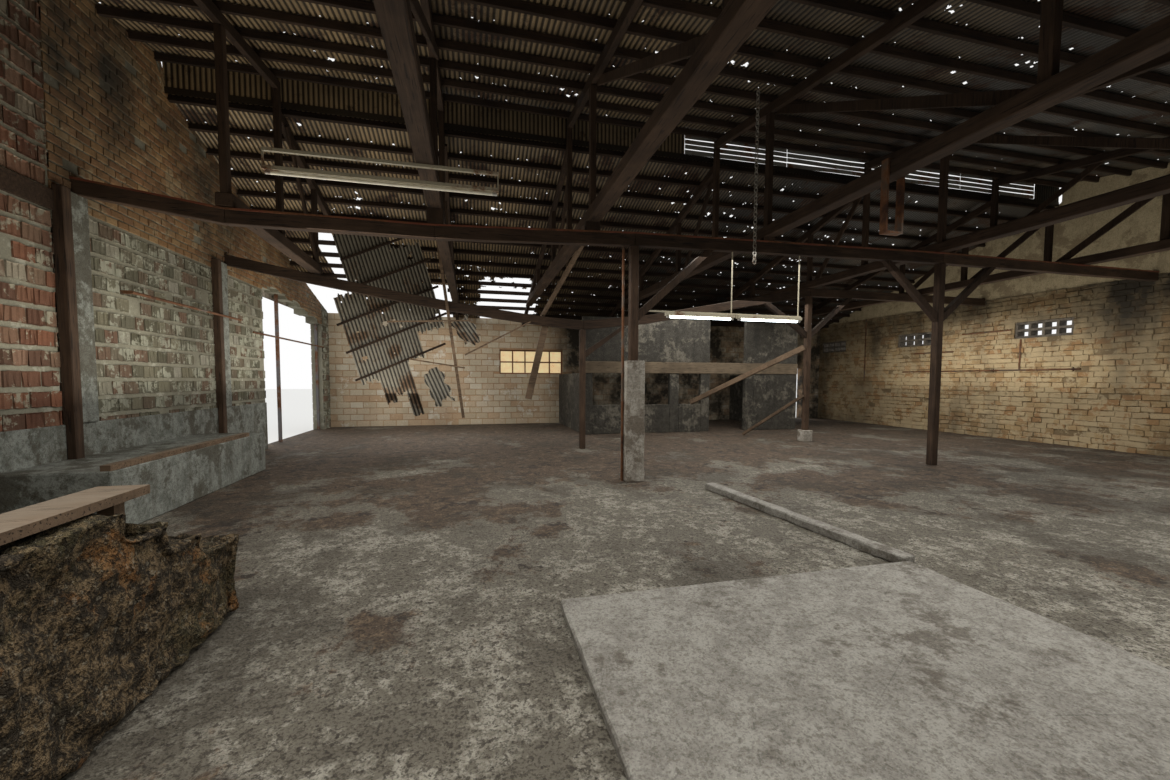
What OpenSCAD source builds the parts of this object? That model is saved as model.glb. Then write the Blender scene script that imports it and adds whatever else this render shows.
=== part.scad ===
// Disused single-storey factory hall with braced posts, timber trusses and a corrugated roof.
// X runs across the hall, Y from the entrance to the back wall, Z up.
// The origin is the centre of the footprint at the underside of the floor.

/* [Hall] */
// clear width between the side walls
hall_w = 19000; // [15000:100:24000]
// clear length between the entrance wall and the back wall
hall_l = 19800; // [18000:100:24000]
// thickness of the outer walls
wall_t = 300; // [200:10:400]
// thickness of the floor
floor_t = 120; // [80:10:250]

/* [Roof] */
// height of the ridge above the floor, at the top of the rafters
ridge_h = 6400; // [6000:50:7500]
// height of the rafters at the entrance wall
front_eave_h = 4700; // [4500:50:5200]
// height of the rafters at the back wall
rear_eave_h = 3660; // [3400:50:4000]
// distance of the ridge behind the middle of the hall
ridge_y = 1730; // [1000:10:2500]
// drop from the front slope to the rear slope at the ridge
ridge_step = 430; // [300:10:600]
// how far the sheets pass the entrance wall and the back wall
eave_over = 250; // [100:10:400]
// how far the sheets pass the side walls
verge_over = 100; // [40:10:250]

/* [Corrugated sheets] */
// distance from one corrugation to the next
wave_pitch = 76; // [60:1:160]
// depth of a corrugation
wave_h = 18; // [12:1:40]
// thickness of a sheet
sheet_t = 4; // [2:1:8]
// lap of one course of sheets over the next
sheet_lap = 150; // [100:10:250]

/* [Purlins and rafters] */
// distance from one purlin to the next along the slope
purlin_gap = 560; // [450:10:900]
// width of a purlin
purlin_w = 60; // [40:5:80]
// depth of a purlin
purlin_h = 100; // [60:5:120]
// depth of a rafter
rafter_h = 150; // [100:5:220]

/* [Trusses] */
// height of the underside of the tie beams above the floor
tie_z = 3980; // [3700:10:4200]
// depth of a tie beam
tie_h = 170; // [120:10:240]
// width of a tie beam
tie_w = 200; // [150:10:260]
// thickness of the trusses' other timbers
truss_w = 90; // [70:5:140]
// distance of the first truss from the left wall
truss_1 = 1570; // [1400:10:1700]
// distance of the second truss to the left of the left post line
truss_2 = 2950; // [2700:10:3200]
// distance of the third truss to the left of the left post line
truss_3 = 670; // [500:10:900]
// distance of the fourth truss to the right of the left post line
truss_4 = 2360; // [2000:10:2700]
// distance of the truss with the lattice girder from the right wall
truss_6 = 2200; // [1900:10:2500]
// distance of the outer truss posts from the eave and from the rear beam
web_step = 2450; // [2000:10:2800]
// width of the truss posts
web_w = 110; // [80:5:160]
// depth of a nailed brace
brace_d = 120; // [80:5:160]
// thickness of a nailed brace
brace_t = 40; // [25:5:60]
// height of the lattice girder between its chords
girder_gap = 950; // [800:10:1100]
// depth of the lattice girder's upper chord
girder_h = 200; // [100:10:250]
// distance from one upright of the lattice girder to the next
girder_pitch = 1760; // [1400:10:1900]

/* [Beams and posts] */
// distance from the front beam to the rear beam
beam_gap = 3460; // [3000:10:4000]
// depth of the cross beams
beam_h = 200; // [150:10:280]
// width of the cross beams
beam_w = 120; // [80:10:180]
// how far the front beam has sagged between the first two trusses
front_sag = 220; // [0:10:250]
// distance of the left post line from the left wall
left_bay = 7060; // [6500:10:7600]
// distance between the two post lines
mid_bay = 6040; // [5500:10:6600]
// side of a square post
post_w = 130; // [90:5:180]
// height of the sagging rear beam at its lowest point
sag_z = 2750; // [2500:10:3400]
// side of the concrete casing round the left front post
casing_w = 300; // [220:10:400]
// height of the concrete casing
casing_h = 1900; // [1200:10:2400]
// side of the concrete foot of the right rear post
foot_w = 260; // [200:10:360]
// height of the concrete foot
foot_h = 300; // [150:10:500]
// height where the braces leave a post
brace_z = 2700; // [2300:10:3000]
// reach of a post brace along the beam
brace_run = 1000; // [700:10:1300]
// side of a post against the left wall
wall_post_w = 120; // [80:5:160]
// distance of the first wall post before the front beam
wall_post_gap = 280; // [200:10:500]

/* [Left wall] */
// distance from the far side of the broken opening to the back wall
gap_back = 700; // [400:10:1200]
// clear width of the broken opening
gap_w = 4200; // [3800:10:4400]
// height of the opening's head at its far end
gap_h = 3300; // [3100:10:3400]
// how much higher the head is at its near end
head_rise = 430; // [200:10:500]
// distance from the near side of the opening to the upright of its frame
mullion_y = 1160; // [900:10:1500]
// height of the underside of the string course before the first wall post
band_z = 3490; // [3300:10:3600]
// height of the string course
band_h = 220; // [150:10:280]
// thickness of the string course
band_t = 40; // [20:5:60]
// height of the cement dado
dado_h = 1060; // [800:10:1300]
// thickness of the cement dado
dado_t = 30; // [15:5:60]
// width of a rendered pilaster
pilaster_w = 330; // [200:10:500]
// distance of the low bench's near end before the front beam
bench_y = 1300; // [1000:10:1800]
// length of the low bench
bench_l = 3550; // [2500:10:3800]
// width of the low bench
bench_w = 1040; // [700:10:1200]
// height of the low bench
bench_h = 660; // [450:10:900]
// width of a bar of the opening's frame
frame_bar = 70; // [50:5:100]

/* [Right wall] */
// height of the masonry below the cream upper wall
masonry_h = 3900; // [3700:10:4000]
// sill height of the vent blocks
vent_z = 2750; // [2500:10:2900]
// height of a group of vent blocks
vent_h = 440; // [300:10:500]
// width of a group of vent blocks
vent_w = 1280; // [900:10:1500]
// distance from one group of vent blocks to the next
vent_pitch = 3560; // [3000:10:3800]
// number of groups of vent blocks
vent_n = 5; // [3:1:5]
// thickness of the webs in a vent block
vent_web = 60; // [40:5:90]

/* [Back wall] */
// width of the back window
window_w = 2300; // [1500:10:2600]
// height of the back window
window_h = 870; // [600:10:1000]
// sill height of the back window
window_z = 1800; // [1500:10:2000]
// distance of the window's centre from the left wall
window_x = 6690; // [6200:10:6900]
// width of the bars of the window
window_bar = 45; // [30:5:60]
// thickness of the window glass
glass_t = 6; // [4:1:12]
// distance of the back doorway's centre from the right wall
door_x = 1270; // [1100:10:1800]
// width of the back doorway
door_w = 900; // [700:10:1100]
// height of the back doorway
door_h = 2100; // [1900:10:2300]

/* [Entrance wall] */
// width of the entrance
gate_w = 4200; // [3000:50:6000]
// height of the entrance
gate_h = 3400; // [2600:50:3800]

/* [Store] */
// distance from the store's front to the back wall
store_d = 3800; // [3000:10:4200]
// width of the store
store_w = 7200; // [6500:10:7600]
// distance from the left wall to the store
store_x = 7700; // [7200:10:8200]
// thickness of the store's walls
store_t = 150; // [100:10:250]
// height of the counter openings' sill
counter_z = 860; // [700:10:1000]
// height of the underside of the store's lintel
lintel_z = 1800; // [1700:10:2100]
// depth of the store's lintel
lintel_h = 340; // [250:10:450]
// height of the top of the store's wall
store_h = 3440; // [3000:10:3480]
// width of a pier of the store
pier_w = 300; // [200:10:400]

/* [Floor pieces] */
// width of the raised slab
slab_w = 3040; // [2400:10:3400]
// length of the raised slab
slab_l = 6100; // [5000:10:6300]
// thickness of the raised slab
slab_t = 60; // [30:5:120]
// distance from the left wall to the raised slab
slab_x = 5180; // [5000:10:5400]
// width of the kerb
kerb_w = 150; // [100:10:250]
// length of the kerb beyond the raised slab
kerb_l = 3000; // [2000:10:3500]
// height of the kerb
kerb_h = 90; // [50:5:150]
// angle of the kerb to the raised slab
kerb_turn = 5; // [0:1:8]
// distance from the left wall to the broken block wall
rubble_x = 2760; // [2500:10:3000]
// distance from the entrance wall to the broken block wall
rubble_y = 3100; // [2600:10:3400]
// thickness of the broken block wall
rubble_t = 290; // [150:10:400]
// height of the broken block wall
rubble_h = 1000; // [700:10:1200]
// length of the broken block wall
rubble_l = 3500; // [2600:10:3800]
// width of the board on the broken block wall
board_w = 230; // [150:10:280]
// thickness of the board on the broken block wall
board_t = 45; // [30:5:70]

/* [Hanging roof] */
// distance of the hanging sheets' foot from the second truss
hang_side = 1880; // [1700:10:2000]
// length of the longest hanging sheet
hang_l = 3750; // [3000:10:3800]
// lean of the hanging sheets to the right at their foot
hang_lean = 16; // [12:1:20]
// turn of the battens against the hanging sheets
batten_turn = 8; // [0:1:10]
// side of a batten
batten = 45; // [30:5:60]
// distance from one batten to the next
batten_gap = 620; // [500:10:700]
// length of the longest batten
batten_l = 2200; // [2000:10:2300]
// distance of the small torn sheet from the second truss
torn_x = 600; // [500:10:700]
// depth of the small torn sheet's upper corner below the sagging beam's lowest height
torn_drop = 993; // [900:1:1050]
// side of a fallen beam
fallen_w = 120; // [90:5:150]
// height of a fallen beam's upper end
fallen_z = 2460; // [2300:10:2600]
// side of a fallen rail
rail_w = 70; // [50:5:90]

/* [Fittings] */
// length of the dead strip light
dead_l = 2400; // [1800:10:2600]
// length of a working strip light
lit_l = 1220; // [900:10:1500]
// diameter of a light tube
tube_d = 38; // [20:1:50]
// width of a strip light's tray
tray_w = 90; // [60:5:140]
// drop of the strap hanger below its beam
hanger_h = 650; // [300:10:900]
// width of the strap hanger
hanger_w = 90; // [60:5:130]
// thickness of the strap hanger
hanger_t = 25; // [15:1:40]
// distance from the front beam to the strap hanger
hanger_y = 2420; // [2000:10:2800]
// diameter of a wall pipe
pipe_d = 42; // [20:1:60]
// height of the long pipe on the right wall
pipe_up = 1900; // [1600:10:2200]
// length of the long pipe
pipe_l = 4770; // [4000:10:5500]
// distance from the long pipe's far end to its drop
drop_y = 3480; // [3000:10:3800]
// height of a pipe bend beside the back wall
riser_z = 1590; // [1300:10:1900]
// height of the near rod on the right wall
rod_z = 3000; // [2900:10:3100]
// length of a rod on the right wall
rod_l = 1300; // [1000:10:1500]
// length of the rod on the left wall
left_rod_l = 3010; // [2500:10:3400]
// height of the rod on the left wall
left_rod_z = 2760; // [2500:10:3000]
// height of the rail across the broken opening
rail_z = 2600; // [2300:10:2800]

/* [Hidden] */
big = 60000;
half_w = hall_w / 2;
half_l = hall_l / 2;
front_a = atan((ridge_h - front_eave_h) / (half_l + ridge_y));
rear_top_h = ridge_h - ridge_step;
rear_a = atan((rear_top_h - rear_eave_h) / (half_l - ridge_y));
front_v = purlin_h / cos(front_a);
rear_v = purlin_h / cos(rear_a);
out_y = half_l + wall_t;
front_len = (out_y + ridge_y + eave_over) / cos(front_a);
rear_len = (out_y - ridge_y + eave_over) / cos(rear_a);
rear_start = web_w / 2 + 5;
left_x = -half_w + left_bay;
right_x = left_x + mid_bay;
truss_x = [-half_w + truss_1, left_x - truss_2, left_x - truss_3, left_x + truss_4, right_x,
    half_w - truss_6];
girder_i = 5;
tie_top = tie_z + tie_h;
girder_z = tie_top + girder_gap;
beam_z = tie_z - beam_h;
gap_end = half_l - gap_back;
gap_y = gap_end - gap_w;
win_x = -half_w + window_x;
back_door_x = half_w - door_x;

// heights of the roof lines above the floor at a distance y from the middle
function front_raf(y) = ridge_h - (ridge_y - y) * tan(front_a);
function rear_raf(y) = rear_top_h - (y - ridge_y) * tan(rear_a);
function raf(y) = y < ridge_y ? front_raf(y) : rear_raf(y);
function front_under(y) = front_raf(y) - rafter_h / cos(front_a);
function rear_under(y) = rear_raf(y) - rafter_h / cos(rear_a);
function under(y) = y < ridge_y ? front_under(y) : rear_under(y);
function front_top(y) = front_raf(y) + front_v;
function rear_top(y) = rear_raf(y) + rear_v;
// distance from the middle where the underside of the rear rafters has the height z
function rear_y(z) = ridge_y + (rear_top_h - rafter_h / cos(rear_a) - z) / tan(rear_a);
// height of the sagging beam's underside at x between the left wall and the left post
function sag(x) = sag_z + (beam_z - sag_z) * pow((left_x - x) / left_bay, 1.35);
// the same between the left post and the right post
function rise(x) = sag_z + max(0.09 * (x - left_x), beam_z - sag_z - (right_x - x) * 0.19);
// height of the sagging front beam's underside at x
function front_z(x) = beam_z - front_sag * lookup(x, [[-half_w, 0], [truss_x[0], 1],
    [truss_x[1], 1], [left_x, 0.45], [right_x, 0]]);
// height of the underside of the first tie beam, which rests on the two sagging beams
tie_1a = front_z(truss_x[0] - tie_w / 2) + beam_h;
tie_1b = sag(truss_x[0] - tie_w / 2) + beam_h + 4;
function tie_1(y) = tie_1a + (tie_1b - tie_1a) * (y + beam_w / 2) / (beam_gap + beam_w);
// distance from the middle where the underside of the front rafters has the height z
function front_y(z) = ridge_y - (ridge_h - rafter_h / cos(front_a) - z) / tan(front_a);

module on_floor() {
    translate([0, 0, floor_t]) children();
}

// a profile drawn in Y and Z, as thick as t along X, with its left face at x
module side_profile(x, t, pts) {
    translate([x, 0, 0]) rotate([90, 0, 90]) linear_extrude(t) polygon(pts);
}

// a profile drawn in X and Z, as thick as t along Y, with its near face at y
module face_profile(y, t, pts) {
    translate([0, y + t, 0]) rotate([90, 0, 0]) linear_extrude(t) polygon(pts);
}

// local frame of the front slope: Y up the slope, Z off the rafters, origin at the ridge
module on_front() {
    translate([0, ridge_y, floor_t + ridge_h]) rotate([front_a, 0, 0]) children();
}

// local frame of the rear slope: Y down the slope, Z off the rafters, origin at its top
module on_rear() {
    translate([0, ridge_y, floor_t + rear_top_h]) rotate([-rear_a, 0, 0]) children();
}

// zigzag section of a sheet from x0 across n corrugations
function wave(x0, n, up) = [for (i = [0 : 2 * n])
    [x0 + i * wave_pitch / 2, up + (i % 2 == 0 ? 0 : wave_h)]];

module sheet(x0, n, len) {
    low = wave(x0, n, 0);
    high = [for (i = [2 * n : -1 : 0])
        [x0 + i * wave_pitch / 2, sheet_t + (i % 2 == 0 ? 0 : wave_h)]];
    translate([0, len, 0]) rotate([90, 0, 0]) linear_extrude(len) polygon(concat(low, high));
}

// a straight bar from a to b drawn in Y and Z, depth d, thickness t along X, its foot cut level
// so that it stands on what is below
module side_stood(a, b, d, x, t) {
    an = atan2(b[1] - a[1], b[0] - a[0]);
    foot = d / 2 / sin(an);
    side = d / 2 * [-sin(an), cos(an)];
    side_profile(x, t, [a - [foot, 0], a + [foot, 0], b - side, b + side]);
}

// floor

module floor_slab() {
    color("dimgray")
        translate([-half_w - wall_t, -out_y, 0])
            cube([hall_w + 2 * wall_t, hall_l + 2 * wall_t, floor_t]);
}

module raised_slab() {
    color("gray") on_floor() {
        translate([-half_w + slab_x, -half_l, 0]) cube([slab_w, slab_l, slab_t]);
        translate([-half_w + slab_x + slab_w - kerb_w / 3, -half_l + slab_l + 5, 0])
            rotate([0, 0, kerb_turn]) cube([kerb_w, kerb_l, kerb_h]);
    }
}

// left wall

module left_wall() {
    color("sienna") on_floor() {
        side_profile(-half_w - wall_t, wall_t, [[-out_y, 0], [gap_y, 0], [gap_y, rear_top(gap_y)],
            [ridge_y, rear_top(ridge_y)], [ridge_y, front_top(ridge_y)],
            [-out_y, front_top(-out_y)]]);
        side_profile(-half_w - wall_t, wall_t, [[gap_end, 0], [out_y, 0], [out_y, rear_top(out_y)],
            [gap_end, rear_top(gap_end)]]);
    }
}

// the wall left over the opening, with a ragged lower edge of torn courses
head_teeth = 9;
tooth_h = 60;
tooth_w = gap_w / head_teeth;
function head_z(i) = gap_h + head_rise * (1 - pow((i + 1) / head_teeth, 2.5))
    + (i == head_teeth - 1 ? 0 : tooth_h * ((i * 5) % 3 - 1));
function head_at(y) = head_z(max(0, min(head_teeth - 1, floor((y - gap_y) / tooth_w))));

module left_wall_head() {
    edge = [for (i = [0 : head_teeth - 1]) for (k = [0, 1])
        [gap_y + (i + k) * tooth_w, head_z(i)]];
    color("rosybrown") on_floor()
        side_profile(-half_w - wall_t, wall_t,
            concat(edge, [[gap_end, rear_top(gap_end)], [gap_y, rear_top(gap_y)]]));
}

// dado along the foot of the wall, a rendered strip beside each wall post, and the string
// course before the first post
module dado_and_pilasters() {
    color("darkgray") on_floor() {
        difference() {
            translate([-half_w, -half_l, 0]) cube([dado_t, half_l + gap_y, dado_h]);
            for (y = post_ys)
                translate([-half_w - 1, y - wall_post_w / 2, -1])
                    cube([dado_t + 2, wall_post_w, dado_h + 2]);
        }
        for (y = post_ys)
            translate([-half_w, y + wall_post_w / 2, dado_h + 4])
                cube([2 * dado_t, pilaster_w, beam_z - dado_h - 4]);
        translate([-half_w, -half_l, band_z])
            cube([band_t, half_l + post_ys[0] - wall_post_w / 2, band_h]);
    }
}

// the bench stands against the dado and lets the first wall posts through
module low_bench() {
    color("lightslategray") on_floor()
        difference() {
            translate([-half_w + dado_t, -bench_y, 0])
                cube([bench_w - dado_t, bench_l, bench_h]);
            for (y = post_ys)
                translate([-half_w, y - wall_post_w / 2, -1])
                    cube([wall_post_w, wall_post_w, bench_h + 2]);
        }
}

post_ys = [-wall_post_gap, beam_gap - beam_w / 2 - 20 - pilaster_w - wall_post_w / 2];

module opening_frame() {
    color("saddlebrown") on_floor()
        for (y = [gap_y + mullion_y, gap_end - frame_bar])
            translate([-half_w - wall_t / 2 - frame_bar / 2, y, 0])
                cube([frame_bar, frame_bar, min(head_at(y), head_at(y + frame_bar))]);
}

// a broken wall of blocks in the left foreground, stepped down at its far end
module broken_wall() {
    y0 = -half_l + rubble_y;
    y1 = y0 + rubble_l;
    steps = [[y1, 0.55], [y1 - 400, 0.7], [y1 - 700, 0.85], [y1 - 1000, 1]];
    far = [for (i = [0 : 3]) for (k = [0, 1])
        [steps[i][0], (k == 1 ? steps[i][1] : i == 0 ? 0 : steps[i - 1][1]) * rubble_h]];
    color("dimgray") on_floor()
        side_profile(-half_w + rubble_x, rubble_t, concat([[y0, 0]], far, [[y0, rubble_h]]));
}

// back wall

module wall_piece(x0, x1, z0, z1) {
    side_profile(x0, x1 - x0, [[half_l, z0], [out_y, z0], [out_y, min(z1, rear_top(out_y))],
        [half_l, min(z1, rear_top(half_l))]]);
}

module back_wall() {
    color("peru") on_floor() {
        wall_piece(-half_w, win_x - window_w / 2, 0, big);
        wall_piece(win_x + window_w / 2, back_door_x - door_w / 2, 0, big);
        wall_piece(back_door_x + door_w / 2, half_w, 0, big);
    }
}

module back_wall_infill() {
    color("tan") on_floor() {
        wall_piece(win_x - window_w / 2, win_x + window_w / 2, 0, window_z);
        wall_piece(win_x - window_w / 2, win_x + window_w / 2, window_z + window_h, big);
        wall_piece(back_door_x - door_w / 2, back_door_x + door_w / 2, door_h, big);
    }
}

window_panes = 5;
module window_frame() {
    x0 = win_x - window_w / 2;
    y0 = half_l + wall_t / 2 - window_bar / 2;
    cell = (window_w - window_bar) / window_panes;
    color("brown") on_floor() difference() {
        translate([x0, y0, window_z]) cube([window_w, window_bar, window_h]);
        for (i = [0 : window_panes - 1], j = [0, 1])
            translate([x0 + window_bar + i * cell, y0 - 1,
                window_z + window_bar + j * (window_h - window_bar) / 2])
                cube([cell - window_bar, window_bar + 2,
                    (window_h - window_bar) / 2 - window_bar]);
    }
}

module window_glass() {
    x0 = win_x - window_w / 2;
    cell = (window_w - window_bar) / window_panes;
    color("khaki") on_floor()
        for (i = [0 : window_panes - 1], j = [0, 1])
            translate([x0 + window_bar + i * cell, half_l + wall_t / 2 - glass_t / 2,
                window_z + window_bar + j * (window_h - window_bar) / 2])
                cube([cell - window_bar, glass_t, (window_h - window_bar) / 2 - window_bar]);
}

// right wall

function vent_y(i) = half_l - 800 - i * vent_pitch;

module right_wall() {
    color("goldenrod") on_floor() {
        translate([half_w, -out_y, 0]) cube([wall_t, 2 * out_y, vent_z]);
        side_profile(half_w, wall_t, [[-out_y, vent_z + vent_h], [out_y, vent_z + vent_h],
            [out_y, min(masonry_h, rear_top(out_y))],
            [min(out_y, wall_band_y()), min(masonry_h, rear_top(out_y) + big)],
            [-out_y, masonry_h]]);
    }
}

// where the rear slope comes down to the top of the masonry
function wall_band_y() = ridge_y + (rear_top_h + rear_v - masonry_h) / tan(rear_a);

module vent_course() {
    starts = concat([-out_y], [for (i = [vent_n - 1 : -1 : 0]) vent_y(i) + vent_w / 2]);
    ends = concat([for (i = [vent_n - 1 : -1 : 0]) vent_y(i) - vent_w / 2], [out_y]);
    color("darkgoldenrod") on_floor()
        for (i = [0 : vent_n])
            translate([half_w, starts[i], vent_z])
                cube([wall_t, ends[i] - starts[i], vent_h]);
}

vent_rows = 2;
vent_cols = 4;
module vent_slabs() {
    gap = (vent_h - vent_web) / vent_rows;
    color("dimgray") on_floor()
        for (i = [0 : vent_n - 1], j = [0 : vent_rows])
            translate([half_w + 20, vent_y(i) - vent_w / 2, vent_z + j * gap])
                cube([wall_t - 40, vent_w, vent_web]);
}

module vent_fins() {
    gap = (vent_h - vent_web) / vent_rows;
    bay = (vent_w - vent_web) / vent_cols;
    color("gray") on_floor()
        for (i = [0 : vent_n - 1], j = [0 : vent_rows - 1], k = [0 : vent_cols])
            translate([half_w + 20, vent_y(i) - vent_w / 2 + k * bay,
                vent_z + vent_web + j * gap])
                cube([wall_t - 40, vent_web, gap - vent_web]);
}

module right_wall_band() {
    color("wheat") on_floor()
        side_profile(half_w, wall_t, [[-out_y, masonry_h], [wall_band_y(), masonry_h],
            [ridge_y, rear_top(ridge_y)], [ridge_y, front_top(ridge_y)],
            [-out_y, front_top(-out_y)]]);
}

// entrance wall

module front_wall() {
    color("sienna") on_floor()
        for (x = [-half_w, gate_w / 2])
            side_profile(x, half_w - gate_w / 2, [[-out_y, 0], [-half_l, 0],
                [-half_l, front_top(-half_l)], [-out_y, front_top(-out_y)]]);
}

module front_lintel() {
    color("gray") on_floor()
        side_profile(-gate_w / 2, gate_w, [[-out_y, gate_h], [-half_l, gate_h],
            [-half_l, front_top(-half_l)], [-out_y, front_top(-out_y)]]);
}

// store in the right rear corner of the hall

store_l = -half_w + store_x;
store_y = half_l - store_d;
hatch_z = lintel_z + lintel_h;
store_posts = [0, 0.395, 0.545, 0.77, 1];
function store_px(i) = store_l + store_posts[i] * (store_w - pier_w);

module store_piers() {
    color("gainsboro") on_floor()
        for (i = [0 : 4])
            translate([store_px(i), store_y, 0]) cube([pier_w, store_t, lintel_z]);
}

module store_walls() {
    color("silver") on_floor() {
        for (i = [0, 1, 3])
            translate([store_px(i) + pier_w, store_y, 0])
                cube([store_px(i + 1) - store_px(i) - pier_w, store_t,
                    i == 3 ? lintel_z : counter_z]);
        for (x = [store_l, store_l + store_w - store_t])
            translate([x, store_y + store_t, 0]) cube([store_t, store_d - store_t, lintel_z]);
        for (x = [[store_l, store_px(2) + pier_w], [store_px(3), store_l + store_w]])
            translate([x[0], store_y, hatch_z]) cube([x[1] - x[0], store_t, store_h - hatch_z]);
    }
}

module store_lintel() {
    color("tan") on_floor()
        translate([store_l, store_y - 20, lintel_z]) cube([store_w, store_t + 20, lintel_h]);
}

// posts and cross beams

// its timbers meet end to end at the trusses and posts
module front_beam() {
    xs = [-half_w, truss_x[0], truss_x[1], left_x, right_x, half_w];
    color("maroon") on_floor()
        for (i = [0 : len(xs) - 2]) {
            a = xs[i] + (i == 0 ? 0 : 1);
            b = xs[i + 1] - (i == len(xs) - 2 ? 0 : 1);
            face_profile(-beam_w / 2, beam_w, [[a, front_z(a)], [b, front_z(b)],
                [b, front_z(b) + beam_h], [a, front_z(a) + beam_h]]);
        }
}

// the left timber has sagged with its post, the middle one rises to the right post
module rear_beam() {
    n = 10;
    xs = [for (i = [0 : n]) -half_w + i * (left_bay - 2) / n];
    ms = [left_x + 2, left_x + 1600, right_x - 2];
    color("maroon") on_floor() {
        face_profile(beam_gap - beam_w / 2, beam_w, concat([for (x = xs) [x, sag(x)]],
            [for (i = [n : -1 : 0]) [xs[i], sag(xs[i]) + beam_h]]));
        face_profile(beam_gap - beam_w / 2, beam_w, concat([for (x = ms) [x, rise(x)]],
            [for (i = [2 : -1 : 0]) [ms[i], rise(ms[i]) + beam_h]]));
        translate([right_x + 2, beam_gap - beam_w / 2, beam_z])
            cube([half_w - right_x - 2, beam_w, beam_h]);
    }
}

module posts() {
    color("saddlebrown") on_floor() {
        translate([left_x - post_w / 2, -post_w / 2, casing_h])
            cube([post_w, post_w, front_z(left_x - post_w / 2) - casing_h]);
        translate([right_x - post_w / 2, -post_w / 2, 0])
            cube([post_w, post_w, front_z(right_x - post_w / 2)]);
        translate([left_x - post_w / 2, beam_gap - post_w / 2, 0])
            cube([post_w, post_w, sag_z]);
        translate([right_x - post_w / 2, beam_gap - post_w / 2, foot_h])
            cube([post_w, post_w, beam_z - foot_h]);
        for (y = post_ys)
            translate([-half_w, y - wall_post_w / 2, 0]) cube([wall_post_w, wall_post_w, beam_z]);
    }
}

module post_casings() {
    color("silver") on_floor() {
        translate([left_x - casing_w / 2, -casing_w / 2, 0])
            cube([casing_w, casing_w, casing_h]);
        translate([right_x - foot_w / 2, beam_gap - foot_w / 2, 0])
            cube([foot_w, foot_w, foot_h]);
    }
}

// a brace from the face of a post at height z up to the underside of the beam at u0 and u1
module knee(x, y, z, run, u0, u1) {
    s = run > 0 ? 1 : -1;
    x0 = x + s * post_w / 2;
    x1 = x0 + run;
    face_profile(y - beam_w / 2 + 10, beam_w - 20,
        [[x0, z], [x1, u1], [x1 - s * 150, u0], [x0, z + 160]]);
}

module knee_braces() {
    run = brace_run + 250;
    color("saddlebrown") on_floor() {
        knee(left_x, 0, brace_z - 180, brace_run + 300, front_z(left_x + brace_run + 150),
            front_z(left_x + post_w / 2 + brace_run + 300));
        knee(right_x, 0, brace_z, run, beam_z, beam_z);
        knee(right_x, 0, brace_z, -run, front_z(right_x - post_w / 2 - run + 150),
            front_z(right_x - post_w / 2 - run));
        knee(right_x, beam_gap, brace_z, run, beam_z, beam_z);
        knee(right_x, beam_gap, brace_z, -run, rise(right_x - post_w / 2 - run + 150),
            rise(right_x - post_w / 2 - run));
        knee(left_x, beam_gap, sag_z - 640, brace_run, rise(left_x + post_w / 2 + brace_run - 150),
            rise(left_x + post_w / 2 + brace_run));
    }
}

// trusses

// the first tie beam has only its part between the cross beams left
module tie_beams() {
    color("brown") on_floor() {
        for (i = [1 : len(truss_x) - 1])
            side_profile(truss_x[i] - tie_w / 2, tie_w, [[-half_l, tie_z],
                [rear_y(tie_z), tie_z], [rear_y(tie_top), tie_top], [-half_l, tie_top]]);
        side_profile(truss_x[0] - tie_w / 2, tie_w, [[-beam_w / 2, tie_1a],
            [beam_gap + beam_w / 2, tie_1b], [beam_gap + beam_w / 2, tie_1b + tie_h],
            [-beam_w / 2, tie_1a + tie_h]]);
        side_profile(truss_x[girder_i] - tie_w / 2, tie_w,
            [[front_y(girder_z), girder_z], [rear_y(girder_z), girder_z],
            [rear_y(girder_z + girder_h), girder_z + girder_h],
            [front_y(girder_z + girder_h), girder_z + girder_h]]);
    }
}

module front_rafters() {
    color("saddlebrown") on_floor()
        for (x = truss_x)
            side_profile(x - truss_w / 2, truss_w, [[-half_l, front_under(-half_l)],
                [ridge_y - web_w / 2, front_under(ridge_y - web_w / 2)],
                [ridge_y - web_w / 2, front_raf(ridge_y - web_w / 2)],
                [-half_l, front_raf(-half_l)]]);
}

// the rafter nearest the left wall has broken off under the foot of the middle course
function rear_end(i) = i == 0 ? ridge_y + (rear_len - rear_run + sheet_lap) * cos(rear_a) : half_l;

module rear_rafters() {
    color("saddlebrown") on_floor()
        for (i = [0 : len(truss_x) - 1])
            side_profile(truss_x[i] - truss_w / 2, truss_w,
                [[ridge_y + web_w / 2, rear_under(ridge_y + web_w / 2)],
                [rear_end(i), rear_under(rear_end(i))],
                [rear_end(i) - (i == 0 ? 180 : 0), rear_raf(rear_end(i) - (i == 0 ? 180 : 0))],
                [ridge_y + web_w / 2, rear_raf(ridge_y + web_w / 2)]]);
}

// posts of a truss stand on the tie beam and stop under the rafter
web_ys = [-half_l + web_step, -1.6 * web_step, -web_w / 2, beam_gap - web_w / 2,
    beam_gap + web_step];

module web_post(x, y, z0) {
    side_profile(x - truss_w / 2, truss_w, [[y, z0], [y + web_w, z0],
        [y + web_w, under(y + web_w)], [y, under(y)]]);
}

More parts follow.
